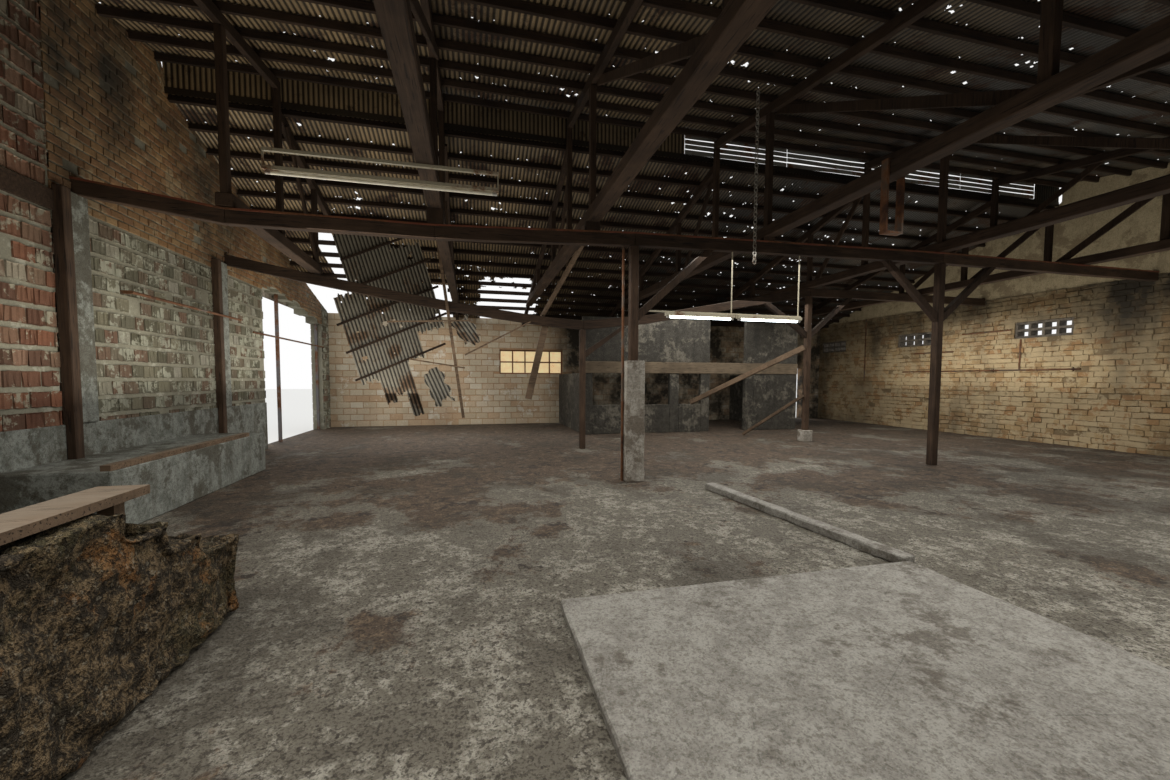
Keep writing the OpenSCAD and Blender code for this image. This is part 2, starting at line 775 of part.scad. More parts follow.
// and packing pieces carry the tie beams where the front beam has sagged
module truss_posts() {
    color("sienna") on_floor() {
        for (i = [1 : 3])
            face_profile(-beam_w / 2, beam_w, [
                [truss_x[i] - web_w, front_z(truss_x[i] - web_w) + beam_h + 1],
                [truss_x[i] + web_w, front_z(truss_x[i] + web_w) + beam_h + 1],
                [truss_x[i] + web_w, tie_z], [truss_x[i] - web_w, tie_z]]);
        for (i = [0 : len(truss_x) - 1]) {
            x = truss_x[i];
            z0 = i == girder_i ? girder_z + girder_h : i == 0 ? tie_1(ridge_y - web_w / 2) + tie_h
                : tie_top;
            side_profile(x - truss_w / 2, truss_w, [[ridge_y - web_w / 2, z0],
                [ridge_y + web_w / 2, z0], [ridge_y + web_w / 2, front_raf(ridge_y)],
                [ridge_y - web_w / 2, front_raf(ridge_y - web_w / 2)]]);
            for (y = web_ys)
                if (i != girder_i && i != 0) web_post(x, y, z0);
            if (i == 0)
                for (y = [web_ys[2], web_ys[3]])
                    web_post(x, y, tie_1(y) + tie_h);
            if (i == girder_i) {
                web_post(x, web_ys[0], tie_top);
                web_post(x, web_ys[2] - web_step, z0);
                for (k = [0 : girder_n - 1])
                    translate([x - truss_w / 2, girder_y(k), tie_top])
                        cube([truss_w, web_w, girder_gap]);
            }
        }
    }
}

// uprights of the lattice girder, set out from the ridge
girder_off = 1180;
girder_k0 = floor((ridge_y - girder_off - front_y(girder_z) - web_w) / girder_pitch);
girder_n = girder_k0 + 1
    + floor((rear_y(girder_z) - web_w - ridge_y + girder_off) / girder_pitch);
function girder_y(k) = ridge_y - girder_off + (k - girder_k0) * girder_pitch;

// braces stand on the tie beam and are nailed to the side of the rafters and posts
module truss_braces() {
    bite = rafter_h / 3;
    color("brown") on_floor()
        for (i = [0 : len(truss_x) - 1]) {
            x = truss_x[i] + truss_w / 2;
            foot_y = web_ys[3] - web_w;
            if (i != girder_i && i != 0)
                side_stood([web_ys[1] + 2 * web_w, tie_top],
                    [web_ys[2], under(web_ys[2]) + bite], brace_d, x, brace_t);
            if (i != girder_i)
                side_stood([foot_y, i == 0 ? tie_1(foot_y - web_w) + tie_h : tie_top],
                    [ridge_y + 2 * web_w, under(ridge_y + 2 * web_w) + bite], brace_d, x,
                    brace_t);
            if (i == girder_i) {
                side_stood([ridge_y - 6 * web_w, girder_z + girder_h],
                    [web_ys[2] - web_w, under(web_ys[2] - web_w) + bite], brace_d, x, brace_t);
                for (k = [0 : girder_n - 2])
                    girder_brace(girder_y(k) + web_w, girder_y(k + 1), x);
            }
        }
}

// a brace between the chords, cut level at both ends
module girder_brace(y0, y1, x) {
    wide = brace_d * sqrt(pow(y1 - y0, 2) + pow(girder_gap, 2)) / girder_gap;
    side_profile(x, brace_t, [[y1 - wide, tie_top], [y1, tie_top], [y0 + wide, girder_z],
        [y0, girder_z]]);
}

// purlins

// the first front purlin lies this far from the ridge, and the last one inside the wall
purlin_0 = 80;

module front_purlins() {
    run = (half_l + ridge_y) / cos(front_a) - purlin_h * tan(front_a);
    n = floor((run - purlin_0 - purlin_w) / purlin_gap);
    color("saddlebrown") on_front()
        for (i = [0 : n])
            translate([-half_w, -purlin_0 - purlin_w - i * purlin_gap, 0])
                cube([hall_w, purlin_w, purlin_h]);
}

// behind the second course of sheets the purlins end at the second truss, some torn shorter
module rear_purlins() {
    n = floor((half_l - ridge_y) / cos(rear_a) / purlin_gap) - 1;
    color("saddlebrown") on_rear()
        for (i = [0 : n]) {
            y = 120 + i * purlin_gap;
            torn = y > rear_len - rear_run + sheet_lap;
            x0 = torn ? truss_x[1] - 120 - 110 * ((i * 7) % 4) : -half_w;
            translate([x0, y, 0]) cube([half_w - x0, purlin_w, purlin_h]);
        }
}

// roof sheets, laid in courses that lap like tiles

sheet_x0 = -half_w - wall_t - verge_over;
sheet_n = floor((hall_w + 2 * (wall_t + verge_over)) / wave_pitch);
sheet_all = sheet_n * wave_pitch;
front_run = (front_len + 2 * sheet_lap) / 3;
rear_run = (rear_len - rear_start + 2 * sheet_lap) / 3;

// course k of the front slope counted from the eave, the lower one under the next
module front_course(k) {
    y0 = -front_len + k * (front_run - sheet_lap);
    over = k == 2 ? ridge_over : 0;
    on_front()
        translate([0, y0, purlin_h + k * sheet_t])
            sheet(-sheet_all / 2, sheet_n, front_run + over);
}

ridge_over = 180;

module front_sheets_low() {
    color("slategray") front_course(0);
}

module front_sheets_mid() {
    color("slategray") front_course(1);
}

module front_sheets_top() {
    color("slategray") front_course(2);
}

module rear_course(k, n0, n1) {
    y0 = rear_len - rear_run - k * (rear_run - sheet_lap);
    on_rear()
        translate([0, y0, purlin_h + k * sheet_t])
            sheet(-sheet_all / 2 + n0 * wave_pitch, n1 - n0, rear_run);
}

// corrugations lost with the left bay, those torn out by the hole and the slit in the middle
// course beside the first truss
lost = floor((truss_x[1] + sheet_all / 2) / wave_pitch) - 2;
slit_1 = floor((truss_x[0] + sheet_all / 2) / wave_pitch) - 2;
slit_0 = slit_1 - 6;
hole_0 = lost + 12;
hole_1 = hole_0 + 24;

module rear_sheets_low() {
    color("slategray") {
        rear_course(0, lost, hole_0);
        rear_course(0, hole_1, sheet_n);
    }
}

module rear_sheets_mid() {
    color("slategray") {
        rear_course(1, 0, slit_0);
        rear_course(1, slit_1, sheet_n);
    }
}

module rear_sheets_top() {
    color("slategray") rear_course(2, 0, sheet_n);
}

// slats in the step of the ridge, nailed to the back of the truss posts
louvre_x0 = truss_x[3] - truss_3;
louvre_x1 = half_w - 850;
louvre_n = 4;
louvre_gap = 20;

module ridge_louvres() {
    z0 = rear_top_h + rear_v + 16;
    z1 = ridge_h + front_v + 7;
    pitch = (z1 - z0 - louvre_gap) / louvre_n;
    color("silver") on_floor()
        for (i = [0 : louvre_n - 1])
            translate([louvre_x0, ridge_y + web_w / 2, z0 + louvre_gap + i * pitch])
                cube([louvre_x1 - louvre_x0, 25, pitch - louvre_gap]);
    color("slategray") on_floor()
        for (x = [[-half_w, louvre_x0 - 4], [louvre_x1 + 4, half_w]])
            translate([x[0], ridge_y + web_w / 2, z0]) cube([x[1] - x[0], 12, z1 - z0]);
}

// part of the roof that has come away and hangs between the first two trusses

hang_y = beam_gap + beam_w / 2 + 580;
hang_x = truss_x[1] - hang_side;
hang_z = rear_raf(hang_y) - hang_l - 60;

// frame of the hanging sheets: X along their width, Y down them, origin at the left foot
module hung() {
    translate([hang_x, hang_y, floor_t + hang_z])
        rotate([0, -hang_lean, 0]) rotate([-90, 0, 0]) children();
}

// first corrugation, number of corrugations, foot and top as shares of the length
hang_strips = [[0, 5, 0, -0.52], [5, 3, 0.15, -0.86], [8, 3, 0.115, -0.86],
    [11, 3, 0.267, -0.86], [14, 5, -0.067, -0.86], [19, 8, -0.208, -0.72]];

module hanging_sheets() {
    color("lightslategray") {
        hung()
            for (k = [0 : len(hang_strips) - 1]) {
                s = hang_strips[k];
                translate([s[0] * wave_pitch + 2 * k, s[3] * hang_l, 0])
                    sheet(0, s[1], (s[2] - s[3]) * hang_l);
            }
        torn_sheet([truss_x[1] - torn_x, rod_y + rod_w / 2, sag_z - torn_drop], 22, 6, 0.23);
        torn_sheet([truss_x[1], beam_gap + beam_w / 2, sag(truss_x[1]) - 254], 34, 6, 0.19);
    }
}

// a torn piece with its upper left corner at a place, leaning to the right at its foot
module torn_sheet(at, lean, n, share) {
    on_floor() translate(at) rotate([0, -lean, 0]) rotate([-90, 0, 0]) sheet(0, n, share * hang_l);
}

// the upper battens start at the second strip, and the top one is nailed to the rafter
module hanging_battens() {
    a = hang_lean + batten_turn;
    color("saddlebrown") hung()
        for (i = [0 : 4]) {
            u = i < 3 ? -100 : hang_strips[1][0] * wave_pitch;
            v = -130 - i * batten_gap - (u + 100) * tan(batten_turn);
            reach = truss_x[1] - truss_w / 2 - hang_x - u * cos(hang_lean) - v * sin(hang_lean);
            whole = i == 0 ? 0.9 * batten_l : batten_l;
            l = i == 4 ? (reach - batten * sin(a)) / cos(a) : whole - u;
            translate([u, v, -batten]) rotate([0, 0, -batten_turn]) cube([l, batten, batten]);
        }
}

// timbers that have come down

// a straight timber from a to b, w wide level and h deep
module timber(a, b, w, h) {
    v = b - a;
    translate(a) rotate([0, -asin(v[2] / norm(v)), atan2(v[1], v[0])])
        translate([0, -w / 2, -h / 2]) cube([norm(v), w, h]);
}

// the long broken timber leans on the second tie beam and on the face of the rear beam, and
// loose rods hang across it
long_x = truss_x[1] - tie_w / 2;
long_w = 60;
rod_w = 30;
rod_y = beam_gap - beam_w / 2 - long_w - rod_w / 2 - 1;

module fallen_timbers() {
    face_y = beam_gap - beam_w / 2;
    back_y = beam_gap + beam_w / 2;
    px = right_x - post_w / 2;
    board_y = -half_l + rubble_y + 50;
    stake_y = -half_l + rubble_y + rubble_l - 900;
    lean_x = left_x - 930;
    color("peru") on_floor() {
        translate([-half_w + rubble_x - 40, board_y, rubble_h])
            cube([board_w, rubble_l - 790, board_t]);
        translate([-half_w + rubble_x + 60, stake_y, 0.85 * rubble_h])
            cube([rail_w, rail_w, 0.15 * rubble_h - 1]);
        translate([-half_w + bench_w - 100, -bench_y + 20, bench_h])
            cube([90, bench_l - 570, 60]);
        timber([px - 62, beam_gap - 40, fallen_z],
            [store_px(1) + pier_w + 430, store_y + 60, counter_z + 59], fallen_w - 10,
            fallen_w + 10);
        timber([px - 41, beam_gap - 20, 1200], [px - 766, beam_gap + 1563, 29.5], rail_w, rail_w);
        timber([long_x - 119, face_y - long_w / 2, tie_top + 500],
            [long_x + 387, face_y - long_w / 2, sag_z - 1980], long_w, long_w);
        timber([long_x - 1106, rod_y, sag_z + 31], [long_x + 564, rod_y, sag_z + 107], rod_w,
            rod_w);
        timber([long_x - 689, rod_y, sag_z - 727], [long_x + 428, rod_y, sag_z - 905], rod_w,
            rod_w);
        timber([long_x + 431, face_y - rod_w / 2, sag_z - 625],
            [left_x - 1200, face_y - rod_w / 2, sag(left_x - 1200) + 40], rod_w, rod_w);
        timber([truss_x[2] + tie_w / 2 + 115, 1100, tie_top + 30],
            [lean_x, back_y + 120, sag(lean_x) + beam_h - 17], rail_w, rail_w);
        timber([left_x - 823, back_y + 18, sag(left_x - 823) + 120],
            [left_x - 1240, back_y + 18, sag_z - 1590], 36, 150);
    }
}

// fittings

dead_y = -1400;
dead_x = truss_x[1] - dead_l * 2 / 3;
dead_drop = 220;
lit_z = 2600;
rail_h = 35;

// the dead light hangs by two end plates from a rail under its tie beam; the two working ones
// hang under a conduit from the left front post
module strip_lights() {
    color("dimgray") on_floor() {
        translate([dead_x, dead_y, tie_z - rail_h]) cube([dead_l, 40, rail_h]);
        for (x = [dead_x, dead_x + dead_l - 12])
            translate([x, dead_y, tie_z - dead_drop]) cube([12, 40, dead_drop]);
        translate([dead_x, dead_y, tie_z - dead_drop]) cube([dead_l, tray_w, 40]);
        for (i = [0, 1])
            translate([light_x(i), -tray_w / 2, lit_z + 30]) cube([lit_l, tray_w, 50]);
        translate([left_x + post_w / 2, -12, lit_z + 80])
            cube([light_x(1) + lit_l - left_x - post_w / 2, 24, 24]);
        for (i = [0, 1])
            translate([light_x(i) + lit_l - 60, -8, lit_z + 104])
                cube([16, 16, front_z(light_x(i) + lit_l - 60) - lit_z - 104]);
    }
}

function light_x(i) = left_x + post_w / 2 + 480 + i * (lit_l + 60);

module light_tubes() {
    color("white") on_floor() {
        translate([dead_x + 20, dead_y + tray_w / 2, tie_z - dead_drop - tube_d / 2])
            rotate([0, 90, 0]) cylinder(h = dead_l - 40, d = tube_d, $fn = 24);
        for (i = [0, 1])
            translate([light_x(i) + 20, 0, lit_z + 30 - tube_d / 2])
                rotate([0, 90, 0]) cylinder(h = lit_l - 40, d = tube_d, $fn = 24);
    }
}

// a straight pipe of length l along Y or up Z, from the point given, touching a wall
module pipe_y(x, y, z, l) {
    translate([x, y, z]) rotate([-90, 0, 0]) cylinder(h = l, d = pipe_d, $fn = 24);
}

module pipe_z(x, y, z, l) {
    translate([x, y, z]) cylinder(h = l, d = pipe_d, $fn = 24);
}

// pipes and rods of the right wall, the rod that a bracket and the second wall post carry on
// the left wall, the rail across the broken opening and the conduit of the left front post
module wall_pipes() {
    x = half_w - pipe_d / 2;
    far_y = store_y - 170;
    rod_far = post_ys[1] + 2 * pilaster_w;
    color("sienna") on_floor() {
        pipe_y(x, far_y - pipe_l, pipe_up, pipe_l);
        pipe_z(x, far_y - drop_y, pipe_up + pipe_d / 2, vent_z - pipe_up - pipe_d);
        pipe_z(x, half_l - store_d + 1420, riser_z, masonry_h - riser_z);
        pipe_y(x, far_y - drop_y + 240, rod_z, rod_l);
        pipe_y(x, far_y - rod_l - 400, rod_z - 500, rod_l);
        pipe_y(-half_w + wall_post_w + pipe_d / 2, rod_far - left_rod_l, left_rod_z, left_rod_l);
        translate([-half_w, rod_far - left_rod_l, left_rod_z - pipe_d / 2])
            cube([wall_post_w + pipe_d / 2, pipe_d, pipe_d]);
        pipe_y(-x, gap_y - 530, rail_z, gap_w + 630);
        pipe_z(left_x - casing_w / 2 - pipe_d / 2, 0, 0, front_z(left_x - casing_w));
    }
}

// a strap round the fourth tie beam that reaches down below it
module beam_hanger() {
    color("brown") on_floor()
        translate([truss_x[3] - tie_w / 2 - hanger_t, -hanger_y, tie_z - hanger_h]) difference() {
            cube([tie_w + 2 * hanger_t, hanger_w, hanger_h + tie_h + hanger_t]);
            translate([hanger_t, -1, hanger_t])
                cube([tie_w, hanger_w + 2, hanger_h + tie_h - hanger_t]);
        }
}

floor_slab();
raised_slab();
left_wall();
left_wall_head();
dado_and_pilasters();
opening_frame();
low_bench();
broken_wall();
back_wall();
back_wall_infill();
window_frame();
window_glass();
right_wall();
vent_course();
vent_slabs();
vent_fins();
right_wall_band();
front_wall();
front_lintel();
store_walls();
store_piers();
store_lintel();
front_beam();
rear_beam();
posts();
post_casings();
knee_braces();
tie_beams();
front_rafters();
rear_rafters();
truss_posts();
truss_braces();
front_purlins();
rear_purlins();
front_sheets_low();
front_sheets_mid();
front_sheets_top();
rear_sheets_top();
rear_sheets_mid();
rear_sheets_low();
ridge_louvres();
hanging_sheets();
hanging_battens();
fallen_timbers();
strip_lights();
light_tubes();
wall_pipes();
beam_hanger();
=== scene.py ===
"""Looks of a disused factory hall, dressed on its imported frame."""
import logging
import math
from contextlib import contextmanager
from dataclasses import dataclass, field, replace
from enum import Enum
from typing import Callable, Iterable, Iterator, Optional, Sequence

import bpy
import numpy as np
from mathutils import Matrix, Vector


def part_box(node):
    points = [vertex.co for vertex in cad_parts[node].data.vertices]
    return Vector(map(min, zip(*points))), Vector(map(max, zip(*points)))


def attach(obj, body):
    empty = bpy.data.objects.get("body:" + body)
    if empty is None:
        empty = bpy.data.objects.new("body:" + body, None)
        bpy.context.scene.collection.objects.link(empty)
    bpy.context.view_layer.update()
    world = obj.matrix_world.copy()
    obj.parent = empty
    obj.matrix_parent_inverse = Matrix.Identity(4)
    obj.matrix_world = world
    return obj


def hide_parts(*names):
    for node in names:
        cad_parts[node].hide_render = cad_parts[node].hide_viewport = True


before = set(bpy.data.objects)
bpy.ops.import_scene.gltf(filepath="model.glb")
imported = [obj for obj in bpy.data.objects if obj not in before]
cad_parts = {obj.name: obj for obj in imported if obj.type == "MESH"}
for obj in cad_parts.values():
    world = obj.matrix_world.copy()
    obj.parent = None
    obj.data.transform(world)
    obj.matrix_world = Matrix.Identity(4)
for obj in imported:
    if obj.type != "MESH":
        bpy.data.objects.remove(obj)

LOG = logging.getLogger("hall")
Color = tuple[float, float, float]
Point = tuple[float, float, float]
Span = tuple[float, float]
Rect = tuple[float, float, float, float]
ROOT = "root"


@dataclass(frozen=True)
class Hall:
    """Sizes of the hall in metres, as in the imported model; heights count from the floor."""

    half_w: float = 9.5
    half_l: float = 9.9
    wall: float = 0.3
    floor: float = 0.12
    ridge_y: float = 1.73
    ridge: float = 6.4
    step: float = 0.43
    front_eave: float = 4.7
    rear_eave: float = 3.66
    purlin: float = 0.1
    left_x: float = -2.44
    right_x: float = 3.6
    beam_z: float = 3.78
    sag: float = 0.22
    sag_shares: tuple[float, ...] = (0, 1, 1, 0.45, 0)
    dado: float = 1.06
    gap: Span = (5.0, 9.2)
    gap_head: float = 3.3
    gap_rise: float = 0.43
    teeth: int = 9
    tooth: float = 0.06
    truss_x: tuple[float, ...] = (-7.93, -5.39)
    sheet_x: float = 9.88
    overhang: float = 0.25

    @property
    def front_a(self) -> float:
        """Angle of the front slope."""
        return math.atan((self.ridge - self.front_eave) / (self.half_l + self.ridge_y))

    @property
    def rear_top(self) -> float:
        """Height of the top of the rear slope."""
        return self.ridge - self.step

    @property
    def rear_a(self) -> float:
        """Angle of the rear slope."""
        return math.atan((self.rear_top - self.rear_eave) / (self.half_l - self.ridge_y))

    def roof(self, y: np.ndarray) -> np.ndarray:
        """Height of the underside of the sheets above the floor.

        Args:
            y: distances from the middle of the hall.

        Returns:
            The heights.
        """
        front = self.ridge - (self.ridge_y - y) * math.tan(self.front_a)
        rear = self.rear_top - (y - self.ridge_y) * math.tan(self.rear_a)
        lift = self.purlin / math.cos(self.front_a)
        return np.where(y < self.ridge_y, front, rear) + lift

    def front_z(self, x: float) -> float:
        """Height of the underside of the sagging front beam."""
        places = (-self.half_w, *self.truss_x, self.left_x, self.right_x)
        return self.beam_z - self.sag * float(np.interp(x, places, self.sag_shares))

    def head(self, y: np.ndarray) -> np.ndarray:
        """Height of the ragged edge over the broken opening, which rises in teeth.

        Args:
            y: distances from the middle of the hall.

        Returns:
            The heights above the floor.
        """
        width = (self.gap[1] - self.gap[0]) / self.teeth
        i = np.clip(np.floor((y - self.gap[0]) / width), 0, self.teeth - 1)
        tooth = np.where(i == self.teeth - 1, 0, self.tooth * ((i * 5) % 3 - 1))
        return self.gap_head + self.gap_rise * (1 - ((i + 1) / self.teeth) ** 2.5) + tooth


HALL = Hall()


def roof_at(y: float) -> Callable[[np.ndarray], np.ndarray]:
    """A wall top that is level at the height of the roof over y."""
    return lambda x: np.full(x.shape, float(HALL.roof(np.array(y))))


def deselect() -> None:
    """Leaves edit mode and deselects every object."""
    if bpy.context.object and bpy.context.object.mode != "OBJECT":
        bpy.ops.object.mode_set(mode="OBJECT")
    bpy.ops.object.select_all(action="DESELECT")


def activate(obj: bpy.types.Object) -> None:
    """Selects one object alone and makes it the active one.

    Args:
        obj: the object.
    """
    deselect()
    obj.select_set(True)
    bpy.context.view_layer.objects.active = obj


@contextmanager
def editing(obj: bpy.types.Object, domain: str = "FACE") -> Iterator[None]:
    """Opens an object in edit mode and closes it again.

    Args:
        obj: the object to edit.
        domain: what is selected in it, VERT, EDGE or FACE.
    """
    activate(obj)
    bpy.ops.object.mode_set(mode="EDIT")
    bpy.ops.mesh.select_mode(type=domain)
    yield
    bpy.ops.object.mode_set(mode="OBJECT")


def pick(obj: bpy.types.Object, mask: np.ndarray, domain: str = "FACE") -> None:
    """Selects the faces or vertices of a mesh that a mask names, and nothing else.

    Args:
        obj: the object.
        mask: one truth value for each face or vertex.
        domain: FACE or VERT.
    """
    mesh = obj.data
    for group in (mesh.vertices, mesh.edges, mesh.polygons):
        group.foreach_set("select", np.zeros(len(group), bool))
    group = mesh.polygons if domain == "FACE" else mesh.vertices
    group.foreach_set("select", mask)


def points(obj: bpy.types.Object) -> np.ndarray:
    """Places of a mesh's vertices, one row each.

    Args:
        obj: the object.

    Returns:
        Three numbers for each vertex.
    """
    co = np.empty(len(obj.data.vertices) * 3)
    obj.data.vertices.foreach_get("co", co)
    return co.reshape(-1, 3)


def move_points(obj: bpy.types.Object, co: np.ndarray) -> None:
    """Puts a mesh's vertices at the places given."""
    obj.data.vertices.foreach_set("co", co.ravel())
    obj.data.update()


def face_places(obj: bpy.types.Object) -> tuple[np.ndarray, np.ndarray]:
    """Centres and normals of a mesh's faces.

    Args:
        obj: the object.

    Returns:
        The centres and the normals, one row for each face.
    """
    faces = obj.data.polygons
    centres, normals = np.empty(len(faces) * 3), np.empty(len(faces) * 3)
    faces.foreach_get("center", centres)
    faces.foreach_get("normal", normals)
    return centres.reshape(-1, 3), normals.reshape(-1, 3)


def settle(obj: bpy.types.Object) -> None:
    """Moves an object's place, turn and scale into its mesh."""
    activate(obj)
    bpy.ops.object.transform_apply(location=True, rotation=True, scale=True)


def finish_modifier(obj: bpy.types.Object, kind: str, **settings: object) -> None:
    """Adds a modifier with its settings and applies it.

    Args:
        obj: the object.
        kind: the modifier's type.
        **settings: its properties and their values.
    """
    activate(obj)
    modifier = obj.modifiers.new(kind.lower(), kind)
    for key, value in settings.items():
        setattr(modifier, key, value)
    bpy.ops.object.modifier_apply(modifier=modifier.name)


def cut_away(obj: bpy.types.Object, mask: np.ndarray, domain: str = "FACE") -> None:
    """Deletes the faces or vertices that a mask names.

    Args:
        obj: the object.
        mask: one truth value for each face or vertex.
        domain: FACE or VERT.
    """
    pick(obj, mask, domain)
    with editing(obj, domain):
        bpy.ops.mesh.delete(type=domain)


def cut_across(axis: int, places: Iterable[float]) -> None:
    """Cuts the mesh that is open in edit mode across an axis, at each of the places given.

    Args:
        axis: 0, 1 or 2 for X, Y or Z.
        places: where the cuts lie along that axis.
    """
    normal = [float(i == axis) for i in range(3)]
    for at in places:
        bpy.ops.mesh.select_all(action="SELECT")
        bpy.ops.mesh.bisect(plane_co=[float(at) * n for n in normal], plane_no=normal)


def divide(obj: bpy.types.Object, axis: int, places: Iterable[float]) -> None:
    """Opens a mesh and cuts it across an axis at each of the places given."""
    with editing(obj, "EDGE"):
        cut_across(axis, places)


def inset(obj: bpy.types.Object, mask: np.ndarray, width: float, depth: float,
          each: bool = False) -> None:
    """Insets the faces that a mask names and moves them by a depth.

    Args:
        obj: the object.
        mask: one truth value for each face.
        width: width of the rim.
        depth: how far the inner face moves out.
        each: whether every face has a rim of its own.
    """
    pick(obj, mask)
    with editing(obj):
        bpy.ops.mesh.inset(thickness=width, depth=depth, use_individual=each)


def repeat(obj: bpy.types.Object, count: int, step: Point) -> None:
    """Repeats a mesh in a row, each copy a step from the last."""
    finish_modifier(obj, "ARRAY", count=count, use_relative_offset=False,
                    use_constant_offset=True, constant_offset_displace=step)


def smooth(obj: bpy.types.Object) -> None:
    """Shades a mesh smooth, apart from its sharp edges."""
    activate(obj)
    bpy.ops.object.shade_smooth_by_angle(angle=math.radians(50))


def box(name: str, low: Sequence[float], high: Sequence[float]) -> bpy.types.Object:
    """A block between two corners, its place in its mesh.

    Args:
        name: its name.
        low: its lowest corner.
        high: its highest corner.

    Returns:
        The block.
    """
    deselect()
    low, high = Vector(low), Vector(high)
    bpy.ops.mesh.primitive_cube_add(size=1, location=(low + high) / 2)
    obj = bpy.context.object
    obj.scale = high - low
    obj.name = name
    settle(obj)
    return obj


def rod(name: str, a: Sequence[float], b: Sequence[float], radius: float,
        sides: int = 12) -> bpy.types.Object:
    """A round bar between two points, its place in its mesh.

    Args:
        name: its name.
        a: the middle of one end.
        b: the middle of the other end.
        radius: its radius.
        sides: the number of its flat sides.

    Returns:
        The bar.
    """
    deselect()
    a, b = Vector(a), Vector(b)
    run = b - a
    bpy.ops.mesh.primitive_cylinder_add(vertices=sides, radius=radius, depth=run.length,
                                        location=(a + b) / 2,
                                        rotation=run.to_track_quat("Z", "Y").to_euler())
    obj = bpy.context.object
    obj.name = name
    settle(obj)
    return obj


def join(name: str, parts: Sequence[bpy.types.Object]) -> bpy.types.Object:
    """Joins meshes to one object under the name given.

    Args:
        name: the new name.
        parts: the meshes, one at least.

    Returns:
        The joined object.
    """
    deselect()
    for part in parts:
        part.select_set(True)
    bpy.context.view_layer.objects.active = parts[0]
    if len(parts) > 1:
        bpy.ops.object.join()
    obj = bpy.context.object
    obj.name = name
    return obj


def copy_node(node: str, name: str) -> bpy.types.Object:
    """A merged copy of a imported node, with its flat faces dissolved.

    Args:
        node: the node's name.
        name: the copy's name.

    Returns:
        The copy.
    """
    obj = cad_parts[node].copy()
    obj.data = obj.data.copy()
    obj.name = name
    for key in [k for k in obj.keys() if k.startswith("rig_")]:
        del obj[key]
    obj.parent = None
    obj.hide_render = obj.hide_viewport = False
    bpy.context.scene.collection.objects.link(obj)
    with editing(obj, "VERT"):
        bpy.ops.mesh.select_all(action="SELECT")
        bpy.ops.mesh.remove_doubles(threshold=0.0001)
        bpy.ops.mesh.dissolve_limited(angle_limit=0.01)
    return obj


def islands(obj: bpy.types.Object) -> np.ndarray:
    """Numbers the loose parts of a mesh.

    Args:
        obj: the object.

    Returns:
        For each vertex the number of its loose part.
    """
    ends = np.empty(len(obj.data.edges) * 2, int)
    obj.data.edges.foreach_get("vertices", ends)
    a, b = ends.reshape(-1, 2).T
    label = np.arange(len(obj.data.vertices))
    while True:
        least = np.minimum(label[a], label[b])
        new = label.copy()
        np.minimum.at(new, a, least)
        np.minimum.at(new, b, least)
        new = new[new]
        if (new == label).all():
            return np.unique(label, return_inverse=True)[1]
        label = new


def keep_parts(obj: bpy.types.Object, test: Callable[[np.ndarray], bool]) -> bpy.types.Object:
    """Deletes the loose parts whose corners fail a test.

    Args:
        obj: the object.
        test: takes the low and high corner of a part and tells whether it stays.

    Returns:
        The object.
    """
    label, co = islands(obj), points(obj)
    gone = np.zeros(len(co), bool)
    for k in range(label.max() + 1):
        part = co[label == k]
        gone[label == k] = not test(np.array([part.min(0), part.max(0)]))
    cut_away(obj, gone, "VERT")
    return obj


def set_tint(obj: bpy.types.Object, values: np.ndarray) -> None:
    """Stores three values for each vertex as the colour attribute that finishes read.

    Args:
        obj: the object.
        values: three numbers for each vertex.
    """
    colours = np.ones((len(obj.data.vertices), 4), np.float32)
    colours[:, :3] = values
    layer = obj.data.color_attributes.new("tint", "FLOAT_COLOR", "POINT")
    layer.data.foreach_set("color", colours.ravel())


